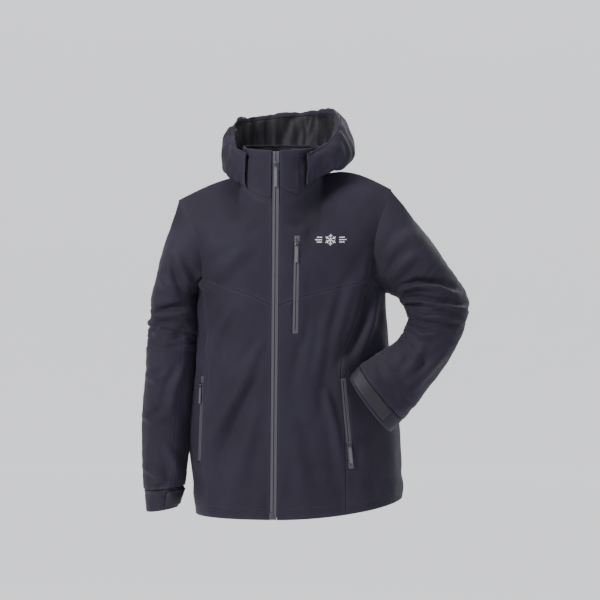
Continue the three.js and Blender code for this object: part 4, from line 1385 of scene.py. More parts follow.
def tube(name: str, path: Sequence[tuple[float, float, float]], radius: float, closed: bool, sides: int = 8
         ) -> bpy.types.Object:
    """A round tube along a path in millimetres, capped unless it closes on itself."""
    pts = np.array(path, float)
    ahead = np.roll(pts, -1, 0) if closed else np.vstack([pts[1:], pts[-1:]])
    behind = np.roll(pts, 1, 0) if closed else np.vstack([pts[:1], pts[:-1]])
    tangent = unit(ahead - behind)
    guide = np.array([0.0, 1.0, 0.0]) if abs(tangent[:, 1]).max() < 0.95 else np.array([1.0, 0.0, 0.0])
    side = unit(np.cross(tangent, guide))
    other = np.cross(side, tangent)
    a = np.linspace(0, 2 * math.pi, sides, endpoint=False)
    ring = np.cos(a)[None, :, None] * side[:, None] + np.sin(a)[None, :, None] * other[:, None]
    verts = (pts[:, None] + radius * ring).reshape(-1, 3)
    n = len(pts)
    faces = [[i * sides + j, i * sides + (j + 1) % sides, ((i + 1) % n) * sides + (j + 1) % sides,
              ((i + 1) % n) * sides + j] for i in range(n if closed else n - 1) for j in range(sides)]
    if not closed:
        faces += [list(range(sides))[::-1], [(n - 1) * sides + j for j in range(sides)]]
    obj = mesh_object(name, verts, faces, 1.0)
    outwards(obj)
    return obj


# ------------------------------------------------------------------ threads, teeth and tapes
@dataclass(frozen=True)
class Socket:
    """One named input of a set of geometry nodes, with its value."""

    name: str
    kind: str
    value: float | bpy.types.Material | bpy.types.Object


class Placer:
    """Geometry nodes that lay one small mesh again and again along a path."""

    def __init__(self, name: str, part: bpy.types.Object, pitch: float, material: bpy.types.Material) -> None:
        """Builds the node tree.

        Args:
            name: the tree's name.
            part: the mesh that is repeated, its length along Z.
            pitch: distance between two of them, metres.
            material: the finish that they get.
        """
        self.inputs = (
            Socket("Part", "NodeSocketObject", part),
            Socket("Pitch", "NodeSocketFloat", pitch),
            Socket("Finish", "NodeSocketMaterial", material),
        )
        self.tree = bpy.data.node_groups.new(name, "GeometryNodeTree")
        self.tree.interface.new_socket("Geometry", in_out="INPUT", socket_type="NodeSocketGeometry")
        self.tree.interface.new_socket("Geometry", in_out="OUTPUT", socket_type="NodeSocketGeometry")
        self.keys = {
            s.name: self.tree.interface.new_socket(s.name, in_out="INPUT", socket_type=s.kind).identifier
            for s in self.inputs
        }
        self.wire()

    def wire(self) -> None:
        """Connects the nodes: path, resampling, instances, real mesh and finish."""
        add, link = self.tree.nodes.new, self.tree.links.new
        entry, leave = add("NodeGroupInput"), add("NodeGroupOutput")
        curve, spread = add("GeometryNodeMeshToCurve"), add("GeometryNodeResampleCurve")
        spread.mode = "LENGTH"
        tangent, face = add("GeometryNodeInputTangent"), add("GeometryNodeInputNamedAttribute")
        face.data_type = "FLOAT_VECTOR"
        face.inputs["Name"].default_value = "face"
        turn, level_up = add("FunctionNodeAlignRotationToVector"), add("FunctionNodeAlignRotationToVector")
        turn.axis, level_up.axis, level_up.pivot_axis = "Z", "Y", "Z"
        info, place = add("GeometryNodeObjectInfo"), add("GeometryNodeInstanceOnPoints")
        real, paint = add("GeometryNodeRealizeInstances"), add("GeometryNodeSetMaterial")
        link(entry.outputs["Geometry"], curve.inputs["Mesh"])
        link(curve.outputs["Curve"], spread.inputs["Curve"])
        link(entry.outputs["Pitch"], spread.inputs["Length"])
        link(spread.outputs["Curve"], place.inputs["Points"])
        link(entry.outputs["Part"], info.inputs["Object"])
        link(info.outputs["Geometry"], place.inputs["Instance"])
        link(tangent.outputs["Tangent"], turn.inputs["Vector"])
        link(turn.outputs["Rotation"], level_up.inputs["Rotation"])
        link(face.outputs["Attribute"], level_up.inputs["Vector"])
        link(level_up.outputs["Rotation"], place.inputs["Rotation"])
        link(place.outputs["Instances"], real.inputs["Geometry"])
        link(real.outputs["Geometry"], paint.inputs["Geometry"])
        link(entry.outputs["Finish"], paint.inputs["Material"])
        link(paint.outputs["Geometry"], leave.inputs["Geometry"])

    def lay(self, name: str, runs: Sequence[tuple[Array, Array]]) -> bpy.types.Object:
        """Lays the parts along several paths.

        Args:
            name: the piece's name.
            runs: for each path, its points in millimetres and the direction that faces out at each.

        Returns:
            One plain mesh.
        """
        verts = np.concatenate([points for points, _ in runs])
        faces_out = np.concatenate([out for _, out in runs])
        edges, first = [], 0
        for points, _ in runs:
            edges += [(first + k, first + k + 1) for k in range(len(points) - 1)]
            first += len(points)
        mesh = bpy.data.meshes.new(name)
        mesh.from_pydata((verts * MM).tolist(), edges, [])
        layer = mesh.attributes.new("face", "FLOAT_VECTOR", "POINT")
        layer.data.foreach_set("vector", faces_out.astype(np.float32).ravel())
        obj = bpy.data.objects.new(name, mesh)
        bpy.context.scene.collection.objects.link(obj)
        modifier = obj.modifiers.new("laid", "NODES")
        modifier.node_group = self.tree
        for socket in self.inputs:
            modifier[self.keys[socket.name]] = socket.value
        baked = bake(obj)
        for attribute in [a.name for a in baked.data.attributes if a.name == "face"]:
            baked.data.attributes.remove(baked.data.attributes[attribute])
        return baked


def line_on(cloth: Lattice, u: Array, v: Array, aside: float, proud: float = 0.1) -> tuple[Array, Array]:
    """A line on a lattice beside a given one.

    Args:
        cloth: the lattice.
        u: first coordinate of the line's points.
        v: second coordinate.
        aside: how far beside the line, millimetres, to the left along it seen from outside.
        proud: how far above the surface, millimetres.

    Returns:
        Points in millimetres and the outward direction at each.
    """
    du, dv = (cloth.high[0] - cloth.low[0]) * 1e-3, (cloth.high[1] - cloth.low[1]) * 1e-3
    for _ in range(2):
        here = cloth.read(u, v)
        pu, pv = (cloth.read(u + du, v) - here) / du, (cloth.read(u, v + dv) - here) / dv
        normal = unit(np.cross(pu, pv))
        if aside == 0:
            break
        along = unit(np.gradient(here, axis=0))
        side = np.cross(normal, along) * aside
        a, b, c = (pu * pu).sum(-1), (pu * pv).sum(-1), (pv * pv).sum(-1)
        x, y = (side * pu).sum(-1), (side * pv).sum(-1)
        det = a * c - b * b
        u, v, aside = u + (c * x - b * y) / det, v + (a * y - b * x) / det, 0
    return here + normal * proud, normal


class Threads:
    """The topstitching beside the seams."""

    def __init__(self, finishes: "Finishes") -> None:
        """Makes the single stitch and the placer.

        Args:
            finishes: the jacket's finishes.
        """
        stitch = turned("stitch", ((-1.15, 0), (-1.0, 0.2), (-0.4, 0.33), (0.4, 0.33), (1.0, 0.2), (1.15, 0)), 8)
        stitch.data.transform(Matrix.Scale(MM, 4) @ Matrix.Rotation(math.radians(-90), 4, "Y"))
        self.part = stitch
        self.placer = Placer("topstitch", stitch, 3.1 * MM, finishes.thread)
        self.runs: dict[str, list[tuple[Array, Array]]] = {}

    def add(self, body: str, cloth: Lattice, u: Array, v: Array, *asides: float) -> None:
        """Adds stitch lines beside a seam on a lattice."""
        for aside in asides:
            self.runs.setdefault(body, []).append(line_on(cloth, np.asarray(u, float), np.asarray(v, float), aside))

    def sew(self) -> None:
        """Makes the stitches of each body."""
        for body, runs in self.runs.items():
            chunks = [runs] if len(runs) < 14 else [runs[:12], runs[12:]]
            for k, chunk in enumerate(chunks):
                obj = self.placer.lay(f"{body}_topstitching_{k}", chunk)
                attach(obj, body)
                LOG.info("%s: %d faces", obj.name, len(obj.data.polygons))
        bpy.data.objects.remove(self.part)


class Zip:
    """A zip with its laminated tapes, its coil and its slider, in its own frame."""

    def __init__(self, seat: Seat, prefix: str, finishes: "Finishes", half: float = 6.9, slit: float = 1.1) -> None:
        """Takes the place and sizes.

        Args:
            seat: where it lies.
            prefix: start of its names.
            finishes: the jacket's finishes.
            half: half its full width, millimetres.
            slit: gap between the two tapes.
        """
        self.seat, self.prefix, self.finishes = seat, prefix, finishes
        self.half, self.slit = half, slit

    def spread(self, z: Array) -> Array:
        """How far each tape stands aside at a height, beyond the slit's own half width."""
        return np.zeros(z.shape)

    def strip(self, sign: int, low: float, high: float, thick: float = 0.9, wide: float | None = None
              ) -> bpy.types.Object:
        """One tape: a thin laminated strip with a rounded free edge and a bead where the coil is sewn behind it."""
        rows = int((high - low) / 2.5)
        z = np.linspace(low, high, rows)
        width = (wide or self.half) - self.slit / 2
        x = np.array([0.0, 0.12, 0.5, 1.0, 1.7, 2.4, 3.0, 3.4, 3.7, 4.1, 4.8, 5.6, 6.4, width - 0.4, width])
        x = np.unique(np.clip(x, 0, width))
        edge = np.exp(-x / 0.25)
        bead = 0.34 * np.exp(-(((x - 1.5) / 1.1) ** 2)) - 0.2 * np.exp(-(((x - 3.5) / 0.32) ** 2))
        wave = wander(int(81 + sign), z[None, :] / 24, x[:, None] / 6) * 0.12
        depth = 0.45 * edge[:, None] - bead[:, None] + wave * smooth(x, 0, 2)[:, None] + 0.15
        at_x = sign * (self.slit / 2 + x[:, None] + self.spread(z)[None, :])
        outer = np.stack([at_x + 0 * z[None, :], depth, z[None, :] + 0 * x[:, None]], -1)
        inner = outer + np.array([0, thick, 0])
        piece = closed_sheet("strip", outer, inner, near_edge=np.repeat(edge[:, None], rows, 1))
        piece.data.transform(Matrix.Scale(1 / MM, 4))
        return piece

    def coil_runs(self, sign: int, low: float, high: float, depth: float = 1.95) -> tuple[Array, Array]:
        """The line on which one side's teeth sit, and the way they face."""
        z = np.arange(low, high, 4.0)
        x = sign * (self.slit / 2 + 1.25 + self.spread(z))
        points = np.stack([x, np.full(z.shape, depth), z], -1)
        place = np.array(self.seat.matrix())
        out = np.tile(place[:3, 0] * sign, (len(z), 1))
        return points @ place[:3, :3].T + place[:3, 3], out


class Teeth:
    """The nylon coil: one loop repeated along each tape."""

    def __init__(self, finishes: "Finishes", pitch: float = 1.25) -> None:
        """Makes the single loop and the placer.

        Args:
            finishes: the jacket's finishes.
            pitch: distance between two loops, millimetres.
        """
        turn = [(0.62 * math.sin(a), 1.25 * math.cos(a), 0.3 * math.sin(a))
                for a in np.linspace(0, 2 * math.pi, 14, endpoint=False)]
        loop = tube("loop", turn, 0.29, True, 5)
        loop.data.transform(Matrix.Scale(MM, 4))
        self.part = loop
        self.placer = Placer("coil", loop, pitch * MM, finishes.nylon)

    def lay(self, name: str, runs: Sequence[tuple[Array, Array]]) -> bpy.types.Object:
        """Lays the loops along several tapes."""
        return self.placer.lay(name, runs)


class PocketZip(Zip):
    """A pocket's zip: two tapes joined at their ends, with a coil behind the slit."""

    def __init__(self, seat: Seat, prefix: str, finishes: "Finishes", open_by: float = 0.0) -> None:
        """Takes the place and how far the pocket stands open above its slider, millimetres."""
        super().__init__(seat, prefix, finishes, half=6.0, slit=1.1)
        self.open_by = open_by

    def spread(self, z: Array) -> Array:
        """The open part above the slider parts like a lens."""
        share = np.clip((z - self.seat.rest) / (self.seat.length - self.seat.rest), 0, 1)
        return self.open_by * np.sin(math.pi * share) ** 0.8

    def build(self, teeth: Teeth) -> None:
        """Makes the tapes, the coil and the end stops."""
        length = self.seat.length
        parts = [self.strip(sign, 0.3, length - 0.3) for sign in (-1, 1)]
        parts.append(solid("end", oblong(self.slit + 1.2, 6, 0.4, (0, 3.6)), (0.1, 1.1), 0.12))
        parts.append(solid("end", oblong(self.slit + 1.2, 6, 0.4, (0, length - 3.6)), (0.1, 1.1), 0.12))
        tape = join_meshes(f"{self.prefix}_tape_laminate", parts)
        dress(self.seat.seat(tape), self.finishes.laminate, "zip_tape", "jacket", f"{self.prefix}_tape")
        runs = [self.coil_runs(sign, 5, length - 5) for sign in (-1, 1)]
        coil = teeth.lay(f"{self.prefix}_coil", runs)
        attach(coil, "jacket")


class MainZip(Zip):
    """The full-length front zip: two separate tapes with their coils, and the insertion box."""

    def build(self, teeth: Teeth) -> None:
        """Makes every piece but the slider."""
        length = self.seat.length
        for side in Side:
            node = f"{self.prefix}_{side.word}"
            tape = self.strip(side.value, 2, length - 2)
            tape.name = f"{node}_tape_laminate"
            dress(self.seat.seat(tape), self.finishes.laminate, "zip_tape", "jacket", f"{node}_tape")
            coil = teeth.lay(f"{node}_coil_loops", [self.coil_runs(side.value, 18, length - 6)])
            dress(coil, self.finishes.nylon, "zip_coil", "jacket", f"{node}_coil")
        parts = [
            solid("box", oblong(9.2, 15, 1.2, (-3.4, 9.5)), (-1.5, -0.35), 0.35, 3),
            solid("stem", oblong(1.1, 13, 0.4, (0, 9.5)), (-0.6, 2.8), 0.0),
            solid("lip", oblong(7.4, 1.6, 0.6, (-3.4, 14.6)), (-1.85, -1.3), 0.2),
            solid("lip", oblong(7.4, 1.6, 0.6, (-3.4, 4.4)), (-1.85, -1.3), 0.2),
        ]
        box = join_meshes(f"{self.prefix}_insertion_box_casting", parts)
        dress(self.seat.seat(box), self.finishes.gunmetal, "gunmetal", "jacket", f"{self.prefix}_insertion_box")


class Emblem:
    """A generic embroidered snowflake between two plain bars, in satin stitch."""

    def __init__(self, cloth: Lattice, finishes: "Finishes", centre: tuple[float, float] = (117.0, -118.0)) -> None:
        """Takes the cloth and the place of its middle, (x, z) in millimetres."""
        self.cloth, self.finishes, self.centre = cloth, finishes, centre

    def strokes(self) -> list[tuple[tuple[float, float], tuple[float, float], float]]:
        """The lines of the device: ends and width, millimetres from its middle."""
        lines = []
        for k in range(6):
            a = math.radians(90 + 60 * k)
            d = (math.cos(a), math.sin(a))
            lines.append(((d[0] * 1.2, d[1] * 1.2), (d[0] * 12.5, d[1] * 12.5), 1.9))
            for turn in (-1, 1):
                b = a + turn * math.radians(55)
                start = (d[0] * 6.5, d[1] * 6.5)
                lines.append((start, (start[0] + 4.6 * math.cos(b), start[1] + 4.6 * math.sin(b)), 1.5))
        for sign in (-1, 1):
            for z in (-5.0, 0.0, 5.0):
                reach = 33 if z == 0 else 29
                lines.append(((sign * 18, z), (sign * reach, z), 2.1))
        return lines

    def build(self, node: str) -> bpy.types.Object:
        """Makes the embroidery on the cloth's surface."""
        pieces = []
        for start, stop, width in self.strokes():
            a, b = np.array(start), np.array(stop)
            run = b - a
            length = float(np.linalg.norm(run))
            d = run / length
            side = np.array([-d[1], d[0]])
            for k in range(max(2, int(length / 0.42))):
                at = a + d * (k + 0.5) * 0.42
                skew = d * 0.12 * (-1) ** k
                ends = [at - side * width / 2 - skew, at, at + side * width / 2 + skew]
                pieces.append([self.on_cloth(p, h) for p, h in zip(ends, (0.05, 0.42, 0.05))])
        wires = [tube("stitch", path, 0.24, False, 5) for path in pieces]
        obj = join_meshes("chest_emblem_embroidery", wires)
        obj.data.transform(Matrix.Scale(MM, 4))
        return dress(obj, self.finishes.embroidery, "embroidery", "jacket", node)

    def on_cloth(self, offset: Array, height: float) -> tuple[float, float, float]:
        """A place on the cloth beside the emblem's middle."""
        x, z = self.centre[0] + offset[0], self.centre[1] + offset[1]
        u, v = 30.0, 0.8
        for _ in range(8):
            here = self.cloth.read(np.array([u]), np.array([v]))[0]
            pu = self.cloth.read(np.array([u + 0.2]), np.array([v]))[0] - here
            pv = self.cloth.read(np.array([u]), np.array([v + 0.002]))[0] - here
            m = np.array([[pu[0] / 0.2, pv[0] / 0.002], [pu[2] / 0.2, pv[2] / 0.002]])
            step = np.linalg.solve(m, np.array([x - here[0], z - here[2]]))
            u, v = u + float(step[0]), v + float(step[1])
        normal = unit(np.cross(pu, pv))
        return tuple(here + normal * height)


# ------------------------------------------------------------------ finishes
Value = "Sum | float | tuple[float, float, float]"


class Sum:
    """One output of a shader tree, with arithmetic."""

    def __init__(self, shader: "Shader", output: bpy.types.NodeSocket) -> None:
        """Takes the tree and the output."""
        self.shader, self.output = shader, output

    def math(self, kind: str, *others: float | Sum, clamp: bool = False) -> Sum:
        """A number worked out from this one and others."""
        values = {k: v for k, v in enumerate((self, *others))}
        return self.shader.node("ShaderNodeMath", {"operation": kind, "use_clamp": clamp}, values)

    def __add__(self, other: float | Sum) -> Sum:
        """Sum of two numbers."""
        return self.math("ADD", other)

    __radd__ = __add__

    def __mul__(self, other: float | Sum) -> Sum:
        """Product of two numbers."""
        return self.math("MULTIPLY", other)

    __rmul__ = __mul__

    def __sub__(self, other: float | Sum) -> Sum:
        """Difference of two numbers."""
        return self.math("SUBTRACT", other)

    def __rsub__(self, other: float) -> Sum:
        """Difference of a plain number and this one."""
        return self.shader.node("ShaderNodeMath", {"operation": "SUBTRACT"}, {0: other, 1: self})

    def __pow__(self, other: float) -> Sum:
        """This number to a power."""
        return self.math("POWER", other)

    def step(self, low: float, high: float) -> Sum:
        """This number rescaled so that it runs from 0 at low to 1 at high."""
        ends = {"Value": self, "From Min": low, "From Max": high}
        return self.shader.node("ShaderNodeMapRange", {"clamp": True}, ends)


class Shader:
    """A material in construction."""

    def __init__(self, name: str) -> None:
        """Starts a material of a name with an empty tree."""
        self.material = bpy.data.materials.new(name)
        self.material.use_nodes = True
        self.tree = self.material.node_tree
        self.tree.nodes.clear()

    def node(self, kind: str, settings: dict[str, object] | None = None, values: dict | None = None,
             out: int | str = 0) -> Sum:
        """Adds a node.

        Args:
            kind: its type.
            settings: its own settings, made before its sockets are used.
            values: its inputs, by name or number: numbers, colours or other outputs.
            out: which output is wanted.

        Returns:
            That output.
        """
        made = self.tree.nodes.new(kind)
        for key, value in (settings or {}).items():
            setattr(made, key, value)
        for key, value in (values or {}).items():
            socket = made.inputs[key]
            if isinstance(value, Sum):
                self.tree.links.new(value.output, socket)
            elif isinstance(value, tuple) and len(value) == 3 and socket.type == "RGBA":
                socket.default_value = (*value, 1.0)
            else:
                socket.default_value = value
        return Sum(self, made.outputs[out])

    def place(self, scale: tuple[float, float, float] = (1.0, 1.0, 1.0)) -> Sum:
        """Object coordinates, in metres, times a scale on each axis."""
        where = self.node("ShaderNodeTexCoord", out="Object")
        return self.node("ShaderNodeVectorMath", {"operation": "MULTIPLY"}, {0: where, 1: scale})

    def thread(self, layer: str = "cloth") -> tuple[Sum, Sum]:
        """Distances across and along the cloth, metres."""
        uv = self.node("ShaderNodeUVMap", {"uv_map": layer})
        x = self.node("ShaderNodeSeparateXYZ", values={0: uv}, out="X")
        y = self.node("ShaderNodeSeparateXYZ", values={0: uv}, out="Y")
        return x, y

    def noise(self, where: Sum, scale: float, detail: float = 3.0, rough: float = 0.55) -> Sum:
        """Noise from 0 to 1 at a place."""
        return self.node("ShaderNodeTexNoise", {"noise_dimensions": "3D"},
                         {"Vector": where, "Scale": scale, "Detail": detail, "Roughness": rough}, "Fac")

    def attribute(self, name: str) -> Sum:
        """A number stored on the mesh."""
        return self.node("ShaderNodeAttribute", {"attribute_name": name}, out="Fac")

    def mix(self, share: float | Sum, a: Value, b: Value) -> Sum:
        """A colour between two."""
        kind = {"data_type": "RGBA", "clamp_factor": True}
        made = self.tree.nodes.new("ShaderNodeMix")
        for key, value in kind.items():
            setattr(made, key, value)
        for index, value in ((0, share), (6, a), (7, b)):
            socket = made.inputs[index]
            if isinstance(value, Sum):
                self.tree.links.new(value.output, socket)
            else:
                socket.default_value = (*value, 1.0) if isinstance(value, tuple) else value
        return Sum(self, made.outputs[2])

    def bump(self, height: Sum, strength: float, distance: float, under: Sum | None = None) -> Sum:
        """A normal roughened by a height in units of the distance, metres."""
        values = {"Height": height, "Strength": strength, "Distance": distance}
        if under is not None:
            values["Normal"] = under
        return self.node("ShaderNodeBump", None, values)

    def close(self, values: dict) -> bpy.types.Material:
        """Ends the tree with one surface.

        Args:
            values: inputs of the surface.

        Returns:
            The material.
        """
        surface = self.node("ShaderNodeBsdfPrincipled", None, values)
        end = self.tree.nodes.new("ShaderNodeOutputMaterial")
        self.tree.links.new(surface.output, end.inputs["Surface"])
        return self.material


@dataclass(frozen=True)
class Woven:
    """A woven cloth: its colour, its twill and a painted sheen along its seams."""

    name: str
    base: tuple[float, float, float]
    # paler colour painted along the seams as a sheen
    worn: tuple[float, float, float]
    rough: float = 0.78
    sheen: float = 0.06
    pitch: float = 0.00062
    relief: float = 0.35
    crinkle: float = 0.25

    def make(self) -> bpy.types.Material:
        """The material."""
        shade = Shader(self.name)
        x, y = shade.thread()
        turns = 2 * math.pi / self.pitch
        twill = ((x + y * 0.5) * turns).math("SINE")
        cross = ((x - y * 2.0) * turns).math("SINE")
        weave = twill * 0.6 + cross * 0.4
        place = shade.place()
        broad = shade.noise(place, 9.0, 2.0)
        mottle = shade.noise(place, 260.0, 3.0)
        pores = shade.noise(shade.place((1.0, 1.0, 1.0)), 2400.0, 1.0)
        edge = shade.attribute("seam_near")
        # mask of the painted sheen: near the seams, in mottled patches
        painted_seam_sheen_mask = (edge * (mottle * 1.6)).math("MINIMUM", 1.0)
        tone = (broad.step(0.32, 0.68) * 0.55 + mottle * 0.3 + pores * 0.25).step(0.2, 0.95)
        colour = shade.mix(tone, self.base, tuple(c * 1.6 for c in self.base))
        # painted sheen: the paler colour laid along the seams
        colour = shade.mix(painted_seam_sheen_mask * 0.5, colour, self.worn)
        creases = shade.noise(place, 70.0, 4.0, 0.6)
        soft = shade.bump(creases, self.crinkle, 0.0016)
        normal = shade.bump(weave * 0.5 + pores * 0.5, self.relief, 0.00016, soft)
        rough = (mottle * 0.16 + (self.rough - 0.08)) - painted_seam_sheen_mask * 0.05
        return shade.close({
            "Base Color": colour,
            "Roughness": rough,
            "Normal": normal,
            "Sheen Weight": self.sheen,
            "Sheen Roughness": 0.45,
            "Sheen Tint": (0.75, 0.74, 0.8),
            "Specular IOR Level": 0.24,
        })


@dataclass(frozen=True)
class Moulded:
    """A plastic, rubber or laminate with fine grain."""

    name: str
    base: tuple[float, float, float]
    pale: tuple[float, float, float]
    rough: float = 0.5
    grain: float = 1500.0
    relief: float = 0.2
    specular: float = 0.4
    coat: float = 0.0

    def make(self) -> bpy.types.Material:
        """The material."""
        shade = Shader(self.name)
        place = shade.place()
        broad, fine = shade.noise(place, 60.0, 3.0), shade.noise(place, self.grain, 2.0)
        colour = shade.mix(broad * 0.6 + fine * 0.4, self.base, self.pale)
        return shade.close({
            "Base Color": colour,
            "Roughness": fine * 0.18 + (self.rough - 0.09),
            "Normal": shade.bump(fine, self.relief, 0.0001),
            "Specular IOR Level": self.specular,
            "Coat Weight": self.coat,
        })


@dataclass(frozen=True)
class Cast:
    """Zinc casting plated dark, rubbed bright in scattered patches."""

    name: str
    base: tuple[float, float, float] = (0.11, 0.11, 0.125)
    bright: tuple[float, float, float] = (0.42, 0.42, 0.45)

    def make(self) -> bpy.types.Material:
        """The material."""
        shade = Shader(self.name)
        place = shade.place()
        cloud, fine = shade.noise(place, 420.0, 4.0), shade.noise(place, 3800.0, 2.0)
        rubbed = cloud.step(0.55, 0.78)
        return shade.close({
            "Base Color": shade.mix(rubbed * 0.6, self.base, self.bright),
            "Metallic": 0.9,
            "Roughness": fine * 0.2 + 0.24,
            "Normal": shade.bump(fine, 0.25, 0.00006),
        })


class Finishes:
    """Every finish of the jacket."""

    def __init__(self) -> None:
        """Makes the materials."""
        # each woven cloth's second colour is the sheen painted along its seams
        self.shell = Woven("shell_cloth", (0.012, 0.0098, 0.0192), (0.032, 0.0283, 0.046)).make()
        self.lining = Woven(
            "lining_cloth", (0.0058, 0.0056, 0.0088), (0.0145, 0.0143, 0.0195), 0.58, 0.05, 0.0004, 0.25, 0.4
        ).make()
        self.laminate = Moulded("zip_laminate", (0.05, 0.047, 0.063), (0.066, 0.062, 0.08), 0.48, 900.0, 0.25,
                                0.45).make()
        self.rubber = Moulded("puller_rubber", (0.085, 0.081, 0.096), (0.12, 0.115, 0.13), 0.55).make()
        self.strap = Moulded("strap_rubber", (0.0095, 0.008, 0.014), (0.0165, 0.0145, 0.0225), 0.6, 700.0, 0.35).make()
        self.nylon = Moulded("nylon_coil", (0.035, 0.034, 0.038), (0.06, 0.058, 0.064), 0.35, specular=0.5).make()
        self.thread = Moulded("topstitch_thread", (0.024, 0.022, 0.032), (0.04, 0.038, 0.05), 0.7).make()
        self.embroidery = Moulded("embroidery_thread", (0.72, 0.72, 0.74), (0.88, 0.88, 0.9), 0.42,
                                  specular=0.5).make()
        self.loop_pile = Moulded("loop_pile", (0.02, 0.019, 0.023), (0.045, 0.043, 0.05), 0.9, 1800.0, 0.9).make()
        self.gunmetal = Cast("gunmetal").make()


# ------------------------------------------------------------------ studio
@dataclass(frozen=True)
class Lamp:
    """A soft area lamp aimed at the jacket."""

    name: str
    at: tuple[float, float, float]
    aim: tuple[float, float, float]
    size: float
    power: float
    colour: tuple[float, float, float] = (1.0, 1.0, 1.0)

    def light(self) -> None:
        """Sets the lamp."""
        data = bpy.data.lights.new(self.name, "AREA")
        data.shape, data.size, data.energy, data.color = "DISK", self.size, self.power, self.colour
        obj = bpy.data.objects.new(self.name, data)
        bpy.context.scene.collection.objects.link(obj)
        obj.location = self.at
        toward = Vector(self.aim) - Vector(self.at)
        obj.rotation_euler = toward.to_track_quat("-Z", "Y").to_euler()


@dataclass(frozen=True)
class Studio:
    """Pale floor, soft lamps and the camera."""

    azimuth: float = 6.0
    elevation: float = 3.0
    distance: float = 8.0
    lens: float = 223.5
    aim: tuple[float, float, float] = (0.045, -0.04, -0.25)
    floor_z: float = -1.5

    def build(self) -> None:
        """Makes the floor, the lamps, the world and the camera."""
        self.floor()
        lamps = (
            Lamp("key", (-2.2, -2.3, 2.0), (0.0, 0.0, -0.25), 1.1, 165.0, (1.0, 0.99, 0.97)),
            Lamp("fill", (2.6, -1.9, 0.9), (0.0, 0.0, -0.3), 1.5, 24.0, (0.95, 0.97, 1.0)),
            Lamp("top", (0.2, 0.3, 2.6), (0.0, 0.0, -0.2), 1.6, 52.0),
            Lamp("rim", (1.2, 2.4, 1.2), (0.0, 0.0, -0.2), 1.4, 40.0),
        )
        for lamp in lamps:
            lamp.light()
        world = bpy.data.worlds.new("studio")
        world.use_nodes = True
        back = world.node_tree.nodes["Background"]
        back.inputs["Color"].default_value = (0.86, 0.87, 0.9, 1.0)
        back.inputs["Strength"].default_value = 0.4
        bpy.context.scene.world = world
        self.camera()

    def floor(self) -> None:
        """A plain pale floor that curves up far behind the jacket, beyond any camera's place."""
        steps, near, far, bend, half, top = 40, -12.0, 9.0, 2.4, 16.0, 9.0
        profile = [(near, self.floor_z)] + [(far + bend * math.sin(a), self.floor_z + bend * (1 - math.cos(a)))
                                            for a in np.linspace(0, math.pi / 2, steps)] + [(far + bend, top)]
        verts = [(x, y, z) for x in (-half, half) for y, z in profile]
        n = len(profile)
        mesh = bpy.data.meshes.new("floor")
        mesh.from_pydata(verts, [], [(k, k + 1, n + k + 1, n + k) for k in range(n - 1)])
        mesh.polygons.foreach_set("use_smooth", [True] * len(mesh.polygons))
        obj = bpy.data.objects.new("floor", mesh)
        bpy.context.scene.collection.objects.link(obj)
        shade = Shader("paper")
        tone = shade.mix(shade.noise(shade.place(), 3.0), (0.78, 0.78, 0.79), (0.82, 0.82, 0.83))
        mesh.materials.append(shade.close(
            {"Base Color": tone, "Roughness": 0.9, "Emission Color": (0.95, 0.96, 1.0), "Emission Strength": 0.66}
        ))

    def camera(self) -> None:
        """The camera, before the jacket and a little above its chest."""
        data = bpy.data.cameras.new("camera")
        data.lens, data.sensor_width, data.clip_end = self.lens, 36.0, 60.0
        obj = bpy.data.objects.new("camera", data)
        bpy.context.scene.collection.objects.link(obj)
        a, e = math.radians(self.azimuth), math.radians(self.elevation)
        away = Vector((math.sin(a) * math.cos(e), -math.cos(a) * math.cos(e), math.sin(e)))
        obj.location = Vector(self.aim) + away * self.distance
        obj.rotation_euler = (-away).to_track_quat("-Z", "Y").to_euler()
        bpy.context.scene.camera = obj


# ------------------------------------------------------------------ the whole jacket
SEATS = {
    "main_zip": Seat((0.0, -158.0, -714.0), (0.0, 0.07359, 0.99729), (1.0, 0.0, 0.0), 788.14, 758.14),
    "chest_pocket_zip": Seat((44.09, -130.44, -317.4), (0.00953, 0.08599, 0.99625), (0.99948, 0.02988, -0.01214),
                             209.76, 191.76),
    "right_hand_pocket_zip": Seat((-167.0, -90.73, -594.53), (0.02961, 0.05588, 0.998),
                                  (0.63144, -0.77504, 0.02466), 183.01, 163.01),
    "left_hand_pocket_zip": Seat((163.93, -126.28, -604.53), (-0.09743, 0.04904, 0.99403),
                                 (0.93409, 0.3492, 0.07432), 193.86, 51.86),
}


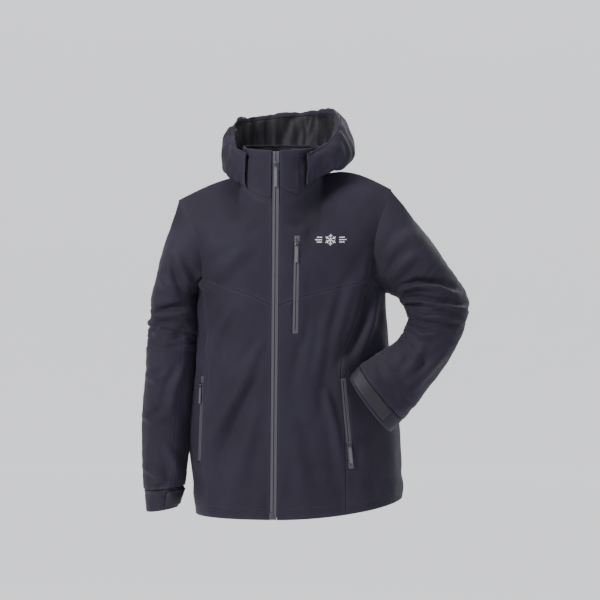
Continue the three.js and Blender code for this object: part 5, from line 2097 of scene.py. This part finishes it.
class Jacket:
    """The whole jacket, one sub-assembly after another."""

    def __init__(self) -> None:
        """Prepares the form, the cloth and the finishes."""
        self.form, self.finishes = Form(), Finishes()
        self.pockets = [seat for prefix, seat in SEATS.items() if prefix != "main_zip"]
        drape = Drape(self.form, self.pockets)
        self.cloth = drape.trunk()
        self.arms = {side: drape.sleeve(side, self.cloth) for side in Side}

    def build(self) -> None:
        """Makes every piece."""
        trunk = Trunk(self.form, self.cloth, self.finishes, self.pockets)
        trunk.shell()
        trunk.inside()
        neck = Neck(self.form, self.finishes)
        neck.collar()
        neck.build_hood()
        for side, cloth in self.arms.items():
            Sleeve(side, self.form, cloth, self.finishes).build()
        self.zips()
        Emblem(self.cloth, self.finishes).build("chest_emblem")
        self.stitching()

    def zips(self) -> None:
        """Makes the four zips."""
        teeth = Teeth(self.finishes)
        for prefix, seat in SEATS.items():
            if prefix == "main_zip":
                MainZip(seat, prefix, self.finishes).build(teeth)
                Slider(seat, prefix, "main_slider", "main_pull", 48.0, self.finishes).build()
                continue
            PocketZip(seat, prefix, self.finishes).build(teeth)
            word = prefix.removesuffix("_pocket_zip")
            Slider(seat, prefix, f"{word}_slider", f"{word}_pull", 40.0, self.finishes).build()
        bpy.data.objects.remove(teeth.part)

    def stitching(self) -> None:
        """Sews the topstitching beside the seams."""
        form, threads = self.form, Threads(self.finishes)
        for side in Side:
            sign = side.value
            t = np.linspace(0.03, form.corner_t - 0.01, 140)
            threads.add("jacket", self.cloth, sign * form.princess_angle(side, t), t, 4.0 * sign)
            away = np.linspace(5.0, 60.0, 90)
            threads.add("jacket", self.cloth, sign * away, form.yoke_seam(away), -4.0 * sign)
        around = np.linspace(6.0, 354.0, 420)
        for place in (0.012, 0.034):
            threads.add("jacket", self.cloth, around, np.full(around.shape, place), 0.0)
        neck = Neck(form, self.finishes)
        round_neck = np.linspace(9.0, 351.0, 320)
        threads.add("jacket", neck.collar_cloth(), round_neck, np.full(round_neck.shape, 0.93), 0.0)
        start, stop = neck.hood
        round_hood = np.linspace(start + 3, stop - 3, 360)
        for place in (neck.band[0] + 0.012, neck.band[1] + 0.014):
            threads.add("jacket", neck.hood_cloth(), round_hood, np.full(round_hood.shape, place), 0.0)
        for side, cloth in self.arms.items():
            for place in (6 / 7 - 0.014, 6 / 7 + 0.016):
                threads.add(f"{side.word}_forearm", cloth, around, np.full(around.shape, place), 0.0)
        threads.sew()


def main() -> None:
    logging.basicConfig(level=logging.INFO, format="%(message)s")
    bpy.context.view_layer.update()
    Jacket().build()
    Studio().build()


if __name__ == "__main__":
    main()
